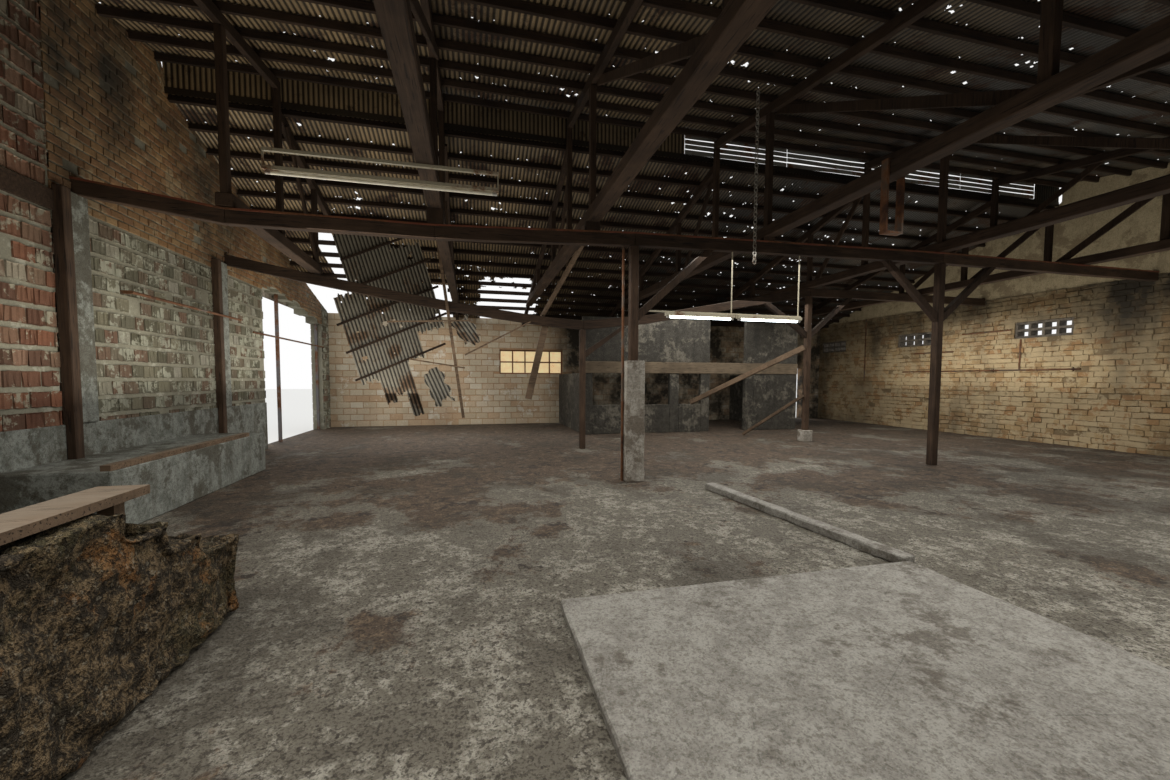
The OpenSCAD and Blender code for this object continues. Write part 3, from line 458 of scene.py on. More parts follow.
class Nodes:
    """Puts together the node tree of one material."""

    def __init__(self, name: str) -> None:
        """Starts a material with a shader and the object's own coordinates.

        Args:
            name: the material's name.
        """
        self.material = bpy.data.materials.new(name)
        self.material.use_nodes = True
        self.tree = self.material.node_tree
        self.shader = self.tree.nodes["Principled BSDF"]
        self.place = self.tree.nodes.new("ShaderNodeTexCoord").outputs["Object"]

    def add(self, kind: str, **settings: object) -> bpy.types.Node:
        """Adds a node and sets its properties.

        Args:
            kind: the node's type.
            **settings: its properties and their values.

        Returns:
            The node.
        """
        node = self.tree.nodes.new(kind)
        for key, value in settings.items():
            setattr(node, key, value)
        return node

    def feed(self, socket: bpy.types.NodeSocket, value: object) -> None:
        """Links a socket to another, or sets its value.

        Args:
            socket: the socket.
            value: another socket, a number or a colour.
        """
        if isinstance(value, bpy.types.NodeSocket):
            self.tree.links.new(value, socket)
        elif isinstance(value, tuple) and len(value) == 3 and socket.type == "RGBA":
            socket.default_value = (*value, 1.0)
        else:
            socket.default_value = value

    def stretched(self, scale: Point, move: Point = (0, 0, 0)) -> bpy.types.NodeSocket:
        """Object coordinates scaled along each axis and moved.

        Args:
            scale: the scale on each axis.
            move: the shift on each axis.

        Returns:
            The coordinates' socket.
        """
        node = self.add("ShaderNodeMapping")
        self.feed(node.inputs["Vector"], self.place)
        node.inputs["Scale"].default_value = scale
        node.inputs["Location"].default_value = move
        return node.outputs["Vector"]

    def noise(self, scale: float, detail: float = 4, rough: float = 0.55,
              stretch: Point = (1, 1, 1), move: Point = (0, 0, 0)) -> bpy.types.NodeSocket:
        """A cloudy value between 0 and 1.

        Args:
            scale: features in one metre.
            detail: number of finer layers.
            rough: strength of the finer layers.
            stretch: scale along each axis.
            move: shift of the pattern.

        Returns:
            The value's socket.
        """
        node = self.add("ShaderNodeTexNoise")
        self.feed(node.inputs["Vector"], self.stretched(stretch, move))
        node.inputs["Scale"].default_value = scale
        node.inputs["Detail"].default_value = detail
        node.inputs["Roughness"].default_value = rough
        return node.outputs["Fac"]

    def cells(self, scale: float, feature: str = "DISTANCE_TO_EDGE",
              stretch: Point = (1, 1, 1)) -> bpy.types.NodeSocket:
        """Distance within a pattern of cells.

        Args:
            scale: cells in one metre.
            feature: what is measured in a cell.
            stretch: scale along each axis.

        Returns:
            The distance's socket.
        """
        node = self.add("ShaderNodeTexVoronoi", feature=feature)
        self.feed(node.inputs["Vector"], self.stretched(stretch))
        node.inputs["Scale"].default_value = scale
        return node.outputs["Distance"]

    def level(self, value: object, low: float, high: float, a: float = 0.0,
              b: float = 1.0) -> bpy.types.NodeSocket:
        """Maps low..high to a..b and holds what lies beyond.

        Args:
            value: the value.
            low: the value that becomes a.
            high: the value that becomes b.
            a: the result at low.
            b: the result at high.

        Returns:
            The result's socket.
        """
        node = self.add("ShaderNodeMapRange")
        node.clamp = True
        for key, given in (("Value", value), ("From Min", low), ("From Max", high),
                           ("To Min", a), ("To Max", b)):
            self.feed(node.inputs[key], given)
        return node.outputs["Result"]

    def math(self, operation: str, *values: object) -> bpy.types.NodeSocket:
        """The result of one operation on its values.

        Args:
            operation: the operation's name.
            *values: what it works on.

        Returns:
            The result's socket.
        """
        node = self.add("ShaderNodeMath", operation=operation)
        for socket, value in zip(node.inputs, values):
            self.feed(socket, value)
        return node.outputs[0]

    def mix(self, share: object, a: object, b: object,
            blend: str = "MIX") -> bpy.types.NodeSocket:
        """Two colours mixed by a share.

        Args:
            share: the share of the second colour.
            a: the first colour.
            b: the second colour.
            blend: how they are blended.

        Returns:
            The colour's socket.
        """
        node = self.add("ShaderNodeMix", data_type="RGBA", blend_type=blend)
        self.feed(node.inputs[0], share)
        self.feed(node.inputs[6], a)
        self.feed(node.inputs[7], b)
        return node.outputs[2]

    def plus(self, a: object, b: object, share: float) -> bpy.types.NodeSocket:
        """A value with a share of another added."""
        return self.math("ADD", a, self.math("MULTIPLY", b, share))

    def over(self, base: object, colour: object, mask: object,
             share: float) -> bpy.types.NodeSocket:
        """A colour laid over another by a share of a mask."""
        return self.mix(self.math("MULTIPLY", mask, share), base, colour)

    def spots(self, base: object, colour: object, value: object, low: float, high: float,
              share: float = 1.0) -> bpy.types.NodeSocket:
        """A colour laid over another where a value rises from low to high.

        Args:
            base: the colour below.
            colour: the colour above.
            value: the value that decides.
            low: where the upper colour begins.
            high: where it has its full share.
            share: that full share.

        Returns:
            The mixed colour's socket.
        """
        return self.mix(self.level(value, low, high, 0.0, share), base, colour)

    def ramp(self, value: object, colours: Sequence[Color]) -> bpy.types.NodeSocket:
        """A run of colours, evenly spaced from 0 to 1.

        Args:
            value: the value, 0 to 1.
            colours: the colours from first to last.

        Returns:
            The colour's socket.
        """
        node = self.add("ShaderNodeValToRGB")
        self.feed(node.inputs[0], value)
        stops = node.color_ramp.elements
        while len(stops) < len(colours):
            stops.new(0.5)
        for i, colour in enumerate(colours):
            stops[i].position = i / max(1, len(colours) - 1)
            stops[i].color = (*colour, 1.0)
        return node.outputs[0]

    def part(self, index: int) -> bpy.types.NodeSocket:
        """One of the object's own coordinates, 0 to 2.

        Args:
            index: 0, 1 or 2 for X, Y or Z.

        Returns:
            The coordinate's socket.
        """
        node = self.add("ShaderNodeSeparateXYZ")
        self.feed(node.inputs[0], self.place)
        return node.outputs[index]

    def facing_up(self) -> bpy.types.NodeSocket:
        """How far a surface looks up, from -1 to 1.

        Returns:
            The value's socket.
        """
        coord = self.add("ShaderNodeTexCoord")
        node = self.add("ShaderNodeSeparateXYZ")
        self.feed(node.inputs[0], coord.outputs["Normal"])
        return node.outputs[2]

    def tint(self, index: int = 0) -> bpy.types.NodeSocket:
        """One channel of the colour that each unit carries.

        Args:
            index: the channel, 0 to 2.

        Returns:
            The channel's socket.
        """
        node = self.add("ShaderNodeAttribute", attribute_name="tint")
        split = self.add("ShaderNodeSeparateColor")
        self.feed(split.inputs[0], node.outputs["Color"])
        return split.outputs[index]

    def relief(self, *layers: tuple[object, float]) -> None:
        """Raises the surface by a sum of values, each times its height in millimetres.

        Args:
            *layers: pairs of a value and its height.
        """
        total: object = 0.0
        for value, height in layers:
            total = self.math("MULTIPLY_ADD", value, height, total)
        node = self.add("ShaderNodeBump")
        node.inputs["Distance"].default_value = 0.001
        self.feed(node.inputs["Height"], total)
        self.feed(self.shader.inputs["Normal"], node.outputs["Normal"])

    def done(self, colour: object, rough: object, metal: float = 0.0,
             gloss: float = 0.3) -> bpy.types.Material:
        """Sets the shader's main sockets and gives the material.

        Args:
            colour: the base colour.
            rough: the roughness.
            metal: how metallic it is.
            gloss: the specular level.

        Returns:
            The material.
        """
        self.feed(self.shader.inputs["Base Color"], colour)
        self.feed(self.shader.inputs["Roughness"], rough)
        self.shader.inputs["Metallic"].default_value = metal
        self.shader.inputs["Specular IOR Level"].default_value = gloss
        return self.material


@dataclass(frozen=True)
class Finish:
    """A finish with its name and the record's slot; each kind builds its own nodes."""

    name: str
    slot: str

    def build(self, nodes: Nodes) -> bpy.types.Material:
        """Builds the nodes of the material."""
        raise NotImplementedError

    def material(self) -> bpy.types.Material:
        """The finish's material, made once."""
        found = bpy.data.materials.get(self.name)
        return found or self.build(Nodes(self.name))


@dataclass(frozen=True)
class Masonry(Finish):
    """Bricks, blocks or stones, or the joints between them, with a worn coat."""

    colours: tuple[Color, ...]
    coat: Color = (0.6, 0.57, 0.5)
    coat_share: float = 0.3
    coat_size: float = 1.1
    soot: float = 0.4
    # How much darker towards the roof (painted shade under it), towards the front end, and to the
    # right of x = -1.2 (painted shade beyond the lit left end).
    shade_up: float = 0.0
    dark_near: float = 0.0
    shade_side: float = 0.0
    rough: float = 0.9
    units: bool = True

    def build(self, nodes: Nodes) -> bpy.types.Material:
        """Builds unit colours under a broken coat, soot, painted shade towards the roof and to the
        right of x = -1.2, darkening towards the front end, and fine grit.

        Args:
            nodes: the new material's nodes.

        Returns:
            The material.
        """
        fine = nodes.noise(55, 2, 0.75)
        broad = nodes.noise(self.coat_size, 5, 0.7, move=(3, 7, 1))
        base = nodes.ramp(nodes.tint() if self.units else nodes.noise(7, 3), self.colours)
        base = nodes.spots(base, nodes.mix(0.55, base, (0.03, 0.025, 0.02)), fine, 0.35, 0.7, 0.5)
        edge = nodes.plus(broad, nodes.noise(19, 2, 0.7), 0.22)
        cut = 0.61 + (0.5 - self.coat_share) * 0.35
        base = nodes.over(base, self.coat, nodes.level(edge, cut, cut + 0.05), 0.85)
        dark = nodes.level(nodes.noise(0.55, 4, 0.6, (1, 1, 0.6), (1, 4, 2)), 0.42, 0.68)
        dark = nodes.math("MULTIPLY", dark, self.soot)
        cloud = nodes.level(nodes.noise(1.7, 4, 0.7, move=(2, 2, 8)), 0.25, 0.6)
        # Darkening with height, from z = 2.4 to 5.2, is painted shade under the roof. Along y it
        # grows towards the front end. Along x, right of x = -1.2, it is painted shade beyond the
        # lit left end of the back wall. The clouds break it up.
        for axis, low, high, share in ((2, 2.4, 5.2, self.shade_up), (1, 1.0, -8.0, self.dark_near),
                                       (0, -2.3, -1.2, self.shade_side)):
            if share:
                more = nodes.level(nodes.part(axis), low, high, 0, share)
                dark = nodes.math("MULTIPLY_ADD", more, cloud, dark)
        # One dark brown for the soot clouds and the painted shade.
        base = nodes.mix(dark, base, (0.045, 0.038, 0.028))
        nodes.relief((fine, 4.0))
        return nodes.done(base, nodes.level(fine, 0.2, 0.8, self.rough - 0.12, self.rough), 0, 0.2)


@dataclass(frozen=True)
class Render(Finish):
    """Plaster, cement or concrete with stains, streaks, pits and fine cracks."""

    colour: Color
    second: Color
    stain: Color
    stain_share: float = 0.4
    streak: float = 0.3
    grain: float = 1.0
    crack: float = 0.5
    rough: float = 0.88

    def build(self, nodes: Nodes) -> bpy.types.Material:
        """Builds two mixed colours with stains from below and above.

        Args:
            nodes: the new material's nodes.

        Returns:
            The material.
        """
        broad = nodes.noise(0.9, 5, 0.72)
        mid = nodes.noise(5.5, 4, 0.78, move=(2, 5, 3))
        fine = nodes.noise(70 * self.grain, 2, 0.8)
        small = nodes.noise(24 * self.grain, 3, 0.8, move=(6, 6, 2))
        base = nodes.spots(self.colour, self.second, mid, 0.42, 0.58)
        base = nodes.spots(base, self.stain, small, 0.53, 0.6, 0.45)
        if self.streak:
            run = nodes.noise(6, 3, 0.6, (1, 1, 0.12), (1, 9, 0))
            base = nodes.spots(base, self.stain, run, 0.5, 0.72, self.streak)
        cut = 0.65 + (0.5 - self.stain_share) * 0.35
        wash = nodes.level(nodes.plus(broad, mid, 0.3), cut, cut + 0.05)
        base = nodes.over(base, self.stain, wash, 0.7)
        base = nodes.spots(base, nodes.mix(0.7, base, (0.02, 0.018, 0.014)), fine, 0.48, 0.62, 0.5)
        base = nodes.spots(base, nodes.mix(0.5, base, (0.8, 0.76, 0.66)),
                           nodes.noise(120, 2, 0.6), 0.62, 0.7, 0.35)
        lines = nodes.level(nodes.cells(1.3), 0.0, 0.006, 1.0, 0.0)
        lines = nodes.math("MULTIPLY", lines, nodes.level(mid, 0.45, 0.6))
        base = nodes.over(base, (0.03, 0.026, 0.02), lines, self.crack)
        nodes.relief((fine, 1.8), (small, 3.0), (mid, 6.0))
        return nodes.done(base, nodes.level(mid, 0.3, 0.7, self.rough - 0.15, self.rough), 0, 0.25)


@dataclass(frozen=True)
class Crumbled(Finish):
    """Decayed wall core: dark earth, moss, ochre mortar and scorched patches."""

    dark: Color = (0.045, 0.036, 0.025)
    earth: Color = (0.21, 0.15, 0.085)
    moss: Color = (0.09, 0.082, 0.04)
    scorched: Color = (0.31, 0.15, 0.055)
    pit: Color = (0.018, 0.014, 0.01)
    lime: Color = (0.36, 0.32, 0.24)

    def build(self, nodes: Nodes) -> bpy.types.Material:
        """Builds layers of noise at four sizes.

        Args:
            nodes: the new material's nodes.

        Returns:
            The material.
        """
        broad = nodes.noise(1.6, 6, 0.72)
        mid = nodes.noise(15, 4, 0.8, move=(4, 4, 1))
        fine = nodes.noise(60, 2, 0.8)
        base = nodes.spots(self.dark, self.earth, mid, 0.45, 0.58)
        base = nodes.spots(base, self.moss, broad, 0.5, 0.58, 0.45)
        burnt = nodes.level(nodes.noise(2.3, 5, 0.7, move=(9, 1, 5)), 0.57, 0.63)
        base = nodes.over(base, self.scorched, burnt, 0.7)
        base = nodes.spots(base, self.pit, fine, 0.5, 0.58, 0.8)
        base = nodes.spots(base, self.lime, nodes.noise(34, 2, 0.75), 0.6, 0.66, 0.4)
        nodes.relief((fine, 10.0), (mid, 60.0))
        return nodes.done(base, 0.95, 0, 0.15)


class Axis(Enum):
    """The way that a timber's grain runs, as the pattern's scale on each axis."""

    X = (0.5, 9.0, 9.0)
    Y = (9.0, 0.5, 9.0)
    Z = (9.0, 9.0, 0.5)


@dataclass(frozen=True)
class Wood(Finish):
    """Old sawn timber with grain, checks, grime and dust on what looks up."""

    dark: Color
    light: Color
    run: Axis
    dust: Color = (0.2, 0.17, 0.14)
    dust_share: float = 0.5
    rough: float = 0.85

    def build(self, nodes: Nodes) -> bpy.types.Material:
        """Builds grain along the timber, with broad stains over it.

        Args:
            nodes: the new material's nodes.

        Returns:
            The material.
        """
        grain = nodes.noise(3.2, 4, 0.7, self.run.value)
        checks = nodes.level(nodes.noise(7, 3, 0.5, self.run.value, (4, 1, 2)), 0.60, 0.66)
        broad = nodes.noise(1.6, 4, 0.6, move=(6, 2, 4))
        base = nodes.spots(self.dark, self.light, grain, 0.3, 0.72)
        base = nodes.spots(base, tuple(c * 1.4 for c in self.light), nodes.tint(), 0, 1, 0.4)
        base = nodes.spots(base, tuple(c * 0.45 for c in self.dark), broad, 0.35, 0.7, 0.6)
        base = nodes.over(base, (0.012, 0.01, 0.009), checks, 0.7)
        up = nodes.level(nodes.facing_up(), 0.3, 0.9, 0.0, self.dust_share)
        up = nodes.math("MULTIPLY", up, nodes.level(broad, 0.35, 0.6))
        base = nodes.mix(up, base, self.dust)
        nodes.relief((grain, 3.6), (checks, -3.0))
        return nodes.done(base, self.rough, 0, 0.2)


@dataclass(frozen=True)
class Rust(Finish):
    """Metal that was once bright or painted, with rust through it."""

    colour: Color
    rust: Color = (0.2, 0.085, 0.035)
    deep: Color = (0.06, 0.03, 0.02)
    share: float = 0.5
    size: float = 2.2
    metal: float = 0.35
    stretch: Point = (1, 1, 1)
    # share of the painted shade in the grooves of corrugated sheets
    groove: float = 0.0

    def bare(self, nodes: Nodes) -> object:
        """The colour between the rust."""
        return self.colour

    def build(self, nodes: Nodes) -> bpy.types.Material:
        """Builds the bare colour under patches of rust with dark edges, and painted shade in the
        grooves where groove is set.

        Args:
            nodes: the new material's nodes.

        Returns:
            The material.
        """
        broad = nodes.noise(self.size, 5, 0.66, self.stretch)
        fine = nodes.noise(60, 2, 0.7)
        value = nodes.plus(broad, fine, 0.12)
        cut = 0.74 - self.share * 0.36
        patch = nodes.level(value, cut, cut + 0.1)
        deep = nodes.level(value, cut + 0.06, cut + 0.24)
        bare = self.bare(nodes)
        plain = nodes.spots(bare, nodes.mix(0.5, bare, (0.02, 0.017, 0.014)), fine, 0.3, 0.75, 0.4)
        base = nodes.mix(patch, plain, nodes.mix(deep, self.rust, self.deep))
        # Painted shade in the grooves of corrugated sheets: darker where the rise is high, made
        # uneven by broad noise.
        if self.groove:
            soot = nodes.math("ADD", nodes.tint(), nodes.level(broad, 0.3, 0.7, -0.12, 0.12))
            base = nodes.spots(base, (0.012, 0.010, 0.008), soot, 0.35, 0.8, self.groove)
        nodes.relief((value, 1.6))
        rough = nodes.level(patch, 0, 1, 0.45, 0.85)
        return nodes.done(base, rough, self.metal, 0.4)


@dataclass(frozen=True)
class RoofRust(Rust):
    """Roof sheets with rust, a warm tan at the left end that is painted warm light from the
    opening, and darker towards the right.
    """

    # colour of the painted warm light at the left end
    warm: Color = (0.40, 0.29, 0.16)

    def bare(self, nodes: Nodes) -> object:
        """The colour between the rust, by the place along the roof.

        Args:
            nodes: the new material's nodes.

        Returns:
            The colour's socket.
        """
        # Painted warm light: the colour turns warm towards the left end at x = -8.5 and is gone by
        # x = 3, made uneven by broad noise. Each sheet's own darker tone lies over it.
        side = nodes.math("ADD", nodes.level(nodes.part(0), -8.5, 3.0, 1.0, 0.0),
                          nodes.level(nodes.noise(0.5, 4, 0.6), 0.35, 0.65, -0.25, 0.25))
        plain = nodes.mix(side, self.colour, self.warm)
        aged = nodes.mix(0.6, plain, (0.035, 0.022, 0.015))
        return nodes.spots(plain, aged, nodes.tint(1), 0, 1, 0.6)


@dataclass(frozen=True)
class Ground(Finish):
    """A worn concrete floor under trodden dirt, damp and grit."""

    pale: Color = (0.33, 0.31, 0.255)
    mid: Color = (0.145, 0.13, 0.10)
    dirt: Color = (0.072, 0.047, 0.030)

    def build(self, nodes: Nodes) -> bpy.types.Material:
        """Builds pale worn places, brown dirt, damp edges and fine grit.

        Args:
            nodes: the new material's nodes.

        Returns:
            The material.
        """
        broad = nodes.noise(0.45, 5, 0.66)
        mid = nodes.noise(1.9, 6, 0.74, (1, 0.8, 1), (2, 5, 3))
        small = nodes.noise(11, 4, 0.74, move=(7, 3, 3))
        fine = nodes.noise(60, 2, 0.75)
        worn = nodes.plus(mid, small, 0.9)
        base = nodes.spots(self.mid, self.pale, worn, 0.92, 1.08)
        far = nodes.level(nodes.part(1), -4.0, 3.0, -0.07, 0.13)
        soil = nodes.plus(nodes.math("ADD", nodes.plus(broad, mid, 0.5), far), small, 0.3)
        soil = nodes.level(soil, 0.90, 0.95, 0.0, 0.92)
        clod = nodes.spots(self.dirt, (0.15, 0.105, 0.065),
                           nodes.noise(7, 4, 0.8, move=(3, 3, 3)), 0.52, 0.6)
        clod = nodes.spots(clod, (0.022, 0.015, 0.011),
                           nodes.noise(4.5, 4, 0.8, move=(8, 1, 4)), 0.53, 0.6)
        base = nodes.mix(soil, base, clod)
        base = nodes.spots(base, (0.05, 0.042, 0.03), nodes.noise(0.8, 4, 0.6, move=(1, 8, 0)),
                           0.52, 0.6, 0.5)
        grit = nodes.level(nodes.cells(30, "F1"), 0.05, 0.22, 1.0, 0.0)
        grit = nodes.math("MULTIPLY", grit, nodes.level(small, 0.5, 0.6))
        base = nodes.over(base, (0.36, 0.32, 0.25), grit, 0.6)
        flake = nodes.level(nodes.cells(17, "F1", (1, 0.55, 1)), 0.10, 0.17, 1.0, 0.0)
        flake = nodes.math("MULTIPLY", flake, nodes.level(nodes.noise(5, 3, 0.7), 0.54, 0.6))
        leaf = nodes.mix(soil, (0.03, 0.024, 0.018), (0.20, 0.13, 0.075))
        base = nodes.over(base, leaf, flake, 0.8)
        base = nodes.spots(base, (0.04, 0.032, 0.024), nodes.noise(26, 3, 0.75, move=(5, 2, 7)),
                           0.55, 0.6, 0.75)
        base = nodes.spots(base, (0.026, 0.02, 0.015), fine, 0.5, 0.62, 0.6)
        nodes.relief((fine, 5.6), (small, 24.0), (mid, 36.0))
        return nodes.done(base, nodes.level(worn, 0.8, 1.1, 0.78, 0.95), 0, 0.25)


@dataclass(frozen=True)
class Glass(Finish):
    """Dirty tinted glass."""

    colour: Color

    def build(self, nodes: Nodes) -> bpy.types.Material:
        """Builds clear glass under a film of dust.

        Args:
            nodes: the new material's nodes.

        Returns:
            The material.
        """
        film = nodes.noise(6, 5, 0.65)
        dusty = tuple(min(1.0, c * 1.25 + 0.1) for c in self.colour)
        base = nodes.spots(self.colour, dusty, film, 0.3, 0.7)
        nodes.shader.inputs["Transmission Weight"].default_value = 0.85
        nodes.relief((film, 0.2))
        return nodes.done(base, nodes.level(film, 0.3, 0.7, 0.25, 0.5), 0, 0.5)


@dataclass(frozen=True)
class Tube(Finish):
    """A frosted light tube, lit or dead."""

    colour: Color
    power: float

    def build(self, nodes: Nodes) -> bpy.types.Material:
        """Builds frosted glass that glows with the power given.

        Args:
            nodes: the new material's nodes.

        Returns:
            The material.
        """
        film = nodes.noise(9, 4, 0.6)
        base = nodes.spots(self.colour, (0.4, 0.38, 0.33), film, 0.4, 0.7, 0.4)
        nodes.shader.inputs["Emission Color"].default_value = (*self.colour, 1.0)
        nodes.shader.inputs["Emission Strength"].default_value = self.power
        return nodes.done(base, 0.35, 0, 0.5)


RED_UNITS = Masonry("red_units", "red_brick", ((0.18, 0.075, 0.045), (0.13, 0.075, 0.05),
                    (0.27, 0.115, 0.065), (0.22, 0.15, 0.10), (0.24, 0.105, 0.06),
                    (0.36, 0.32, 0.24)), (0.38, 0.36, 0.27), 0.34, 3.4, 0.5, shade_up=0.5)
GREY_UNITS = Masonry("grey_units", "red_brick", ((0.13, 0.12, 0.08), (0.19, 0.18, 0.13),
                     (0.20, 0.12, 0.08), (0.16, 0.155, 0.11), (0.24, 0.22, 0.15),
                     (0.38, 0.36, 0.29)), (0.42, 0.42, 0.33), 0.45, 3.8, 0.4, shade_up=0.3)
GOLD_UNITS = Masonry("gold_units", "red_brick", ((0.29, 0.145, 0.062), (0.42, 0.25, 0.11),
                     (0.35, 0.18, 0.085), (0.50, 0.32, 0.15)), (0.47, 0.35, 0.2), 0.3, 1.5, 0.45,
                     shade_up=0.7)
LEFT_JOINTS = Masonry("left_joints", "red_brick", ((0.29, 0.27, 0.20), (0.38, 0.37, 0.28)),
                      (0.46, 0.45, 0.36), 0.3, 2.5, 0.5, shade_up=0.5, dark_near=0.8, units=False)
ORANGE_UNITS = Masonry("orange_units", "orange_block", ((0.62, 0.50, 0.34), (0.72, 0.62, 0.45),
                       (0.60, 0.42, 0.26), (0.76, 0.68, 0.52)), (0.72, 0.66, 0.54), 0.3, 1.6, 0.3,
                       shade_side=0.95)
PALE_JOINTS = Masonry("pale_joints", "orange_block", ((0.50, 0.30, 0.16), (0.58, 0.38, 0.22)),
                      (0.62, 0.52, 0.40), 0.2, 0.9, 0.25, shade_side=0.95, units=False)
OCHRE_UNITS = Masonry("ochre_units", "ochre_stone", ((0.33, 0.21, 0.10), (0.46, 0.33, 0.17),
                      (0.38, 0.22, 0.10), (0.56, 0.43, 0.25)), (0.47, 0.37, 0.22), 0.62, 3.1, 0.8,
                      shade_up=1.0, dark_near=0.9)
OCHRE_JOINTS = Masonry("ochre_joints", "ochre_stone", ((0.17, 0.12, 0.065), (0.30, 0.22, 0.12)),
                       (0.45, 0.36, 0.22), 0.5, 3.1, 0.6, 0.8, 0.8, units=False)
OUTER_UNITS = Masonry("outer_units", "front_block", ((0.36, 0.31, 0.25), (0.44, 0.39, 0.32),
                      (0.40, 0.36, 0.30), (0.50, 0.45, 0.38)), (0.55, 0.50, 0.43), 0.25, 0.9, 0.3)
OUTER_JOINTS = Masonry("outer_joints", "front_block", ((0.40, 0.37, 0.32), (0.50, 0.47, 0.41)),
                       (0.55, 0.50, 0.43), 0.2, 0.9, 0.3, units=False)
CREAM = Render("cream_plaster", "cream_render", (0.62, 0.52, 0.33), (0.52, 0.43, 0.27),
               (0.30, 0.23, 0.14), 0.35, 0.4)
CEMENT = Render("dado_cement", "cement", (0.28, 0.295, 0.26), (0.17, 0.18, 0.155),
                (0.075, 0.065, 0.045), 0.45, 0.6)
SLAB = Render("slab_top", "slab_concrete", (0.32, 0.305, 0.265), (0.235, 0.22, 0.19),
              (0.10, 0.083, 0.062), 0.36, 0.0, 0.9, 0.4)
CASING = Render("casing_top", "casing_concrete", (0.46, 0.43, 0.37), (0.32, 0.29, 0.24),
                (0.14, 0.11, 0.08), 0.5, 0.6)
PLASTER = Render("store_plaster", "plaster", (0.15, 0.135, 0.105), (0.075, 0.066, 0.05),
                 (0.022, 0.02, 0.016), 0.7, 0.7)
VENT = Render("vent_stone", "vent_concrete", (0.20, 0.17, 0.13), (0.13, 0.11, 0.09),
              (0.05, 0.045, 0.04), 0.4, 0.3)
SOOTED = Crumbled("sooted_wall", "dirty_block")
FLOOR = Ground("hall_floor", "worn_floor")
GLASS = Glass("window_pane", "dirty_glass", (0.95, 0.62, 0.32))
LIT = Tube("lit_tube", "lamp_tube", (0.86, 0.96, 1.0), 9.0)
DEAD = Tube("dead_tube", "lamp_tube", (0.86, 0.81, 0.66), 0.0)
SHEET = RoofRust("roof_sheet", "rusty_sheet", (0.045, 0.044, 0.038), (0.07, 0.036, 0.018),
                 (0.05, 0.028, 0.02), 0.42, 1.4, 0.25, groove=0.9)
PLATE = replace(SHEET, name="ridge_plate", slot="louvre_metal")
HUNG = Rust("hung_sheet", "rusty_sheet", (0.27, 0.245, 0.19), (0.19, 0.12, 0.07),
            (0.08, 0.05, 0.03), 0.45, 1.6, 0.2, groove=0.92)
STRAP = Rust("strap_rust", "iron_beam", (0.22, 0.07, 0.04), share=0.6)
LOUVRE = Rust("louvre_slat", "louvre_metal", (0.30, 0.30, 0.27), share=0.45)
CHAIN = Rust("chain_metal", "rusty_pipe", (0.30, 0.28, 0.24), (0.17, 0.11, 0.07),
             share=0.35, size=9.0)
TRAY = Rust("lamp_body", "lamp_tray", (0.52, 0.47, 0.34), share=0.35, metal=0.0)
HOLDER = Rust("holder_metal", "lamp_tray", (0.55, 0.53, 0.48), share=0.25)
PIPE = Rust("pipe_metal", "rusty_pipe", (0.12, 0.085, 0.06), share=0.75)
FRAME_STEEL = Rust("opening_steel", "steel_bar", (0.15, 0.14, 0.14), share=0.65)
SASH = Rust("window_sash", "window_steel", (0.26, 0.11, 0.06), share=0.5)


OLD_DARK = (0.028, 0.018, 0.012)
OLD_LIGHT = (0.085, 0.052, 0.032)


def wood(name: str, slot: str, run: Axis, pale: float = 1.0) -> Wood:
    """An old dark timber finish, paler or darker by a factor."""
    dark, light = (tuple(c * pale for c in colour) for colour in (OLD_DARK, OLD_LIGHT))
    return Wood(name, slot, dark, light, run)


BEAM = wood("beam_timber", "iron_beam", Axis.X, 0.9)
TIE = wood("tie_timber", "iron_beam", Axis.Y, 0.9)
POST = wood("post_timber", "old_wood", Axis.Z, 1.1)
RAFTER = wood("rafter_timber", "old_wood", Axis.Y, 0.7)
PURLIN = wood("purlin_timber", "old_wood", Axis.X, 0.55)
BRACE = wood("brace_timber", "old_wood", Axis.Z, 0.8)
PALE = Wood("fallen_timber", "pale_wood", (0.085, 0.056, 0.036), (0.22, 0.15, 0.095), Axis.X,
            (0.34, 0.29, 0.22), 0.45)
LINTEL = Wood("lintel_timber", "pale_wood", (0.08, 0.06, 0.04), (0.19, 0.145, 0.095), Axis.X)


def present(piece: bpy.types.Object, finish: Finish, replaced: Sequence[str] = ()) -> None:
    """Dresses a finished piece, lets it ride and reports it.

    Args:
        piece: the piece, its place in its mesh.
        finish: its finish.
        replaced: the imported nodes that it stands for.
    """
    piece.data.name = piece.name
    piece.data.materials.clear()
    piece.data.materials.append(finish.material())
    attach(piece, ROOT)
    if replaced:
        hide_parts(*replaced)
    LOG.info("%s: %d faces", piece.name, len(piece.data.polygons))


def dress(node: str, finish: Finish) -> None:
    """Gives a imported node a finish.

    Args:
        node: the node's name.
        finish: its finish.
    """
    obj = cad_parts[node]
    obj.data.materials.clear()
    obj.data.materials.append(finish.material())
    LOG.info("%s: %s", node, finish.name)


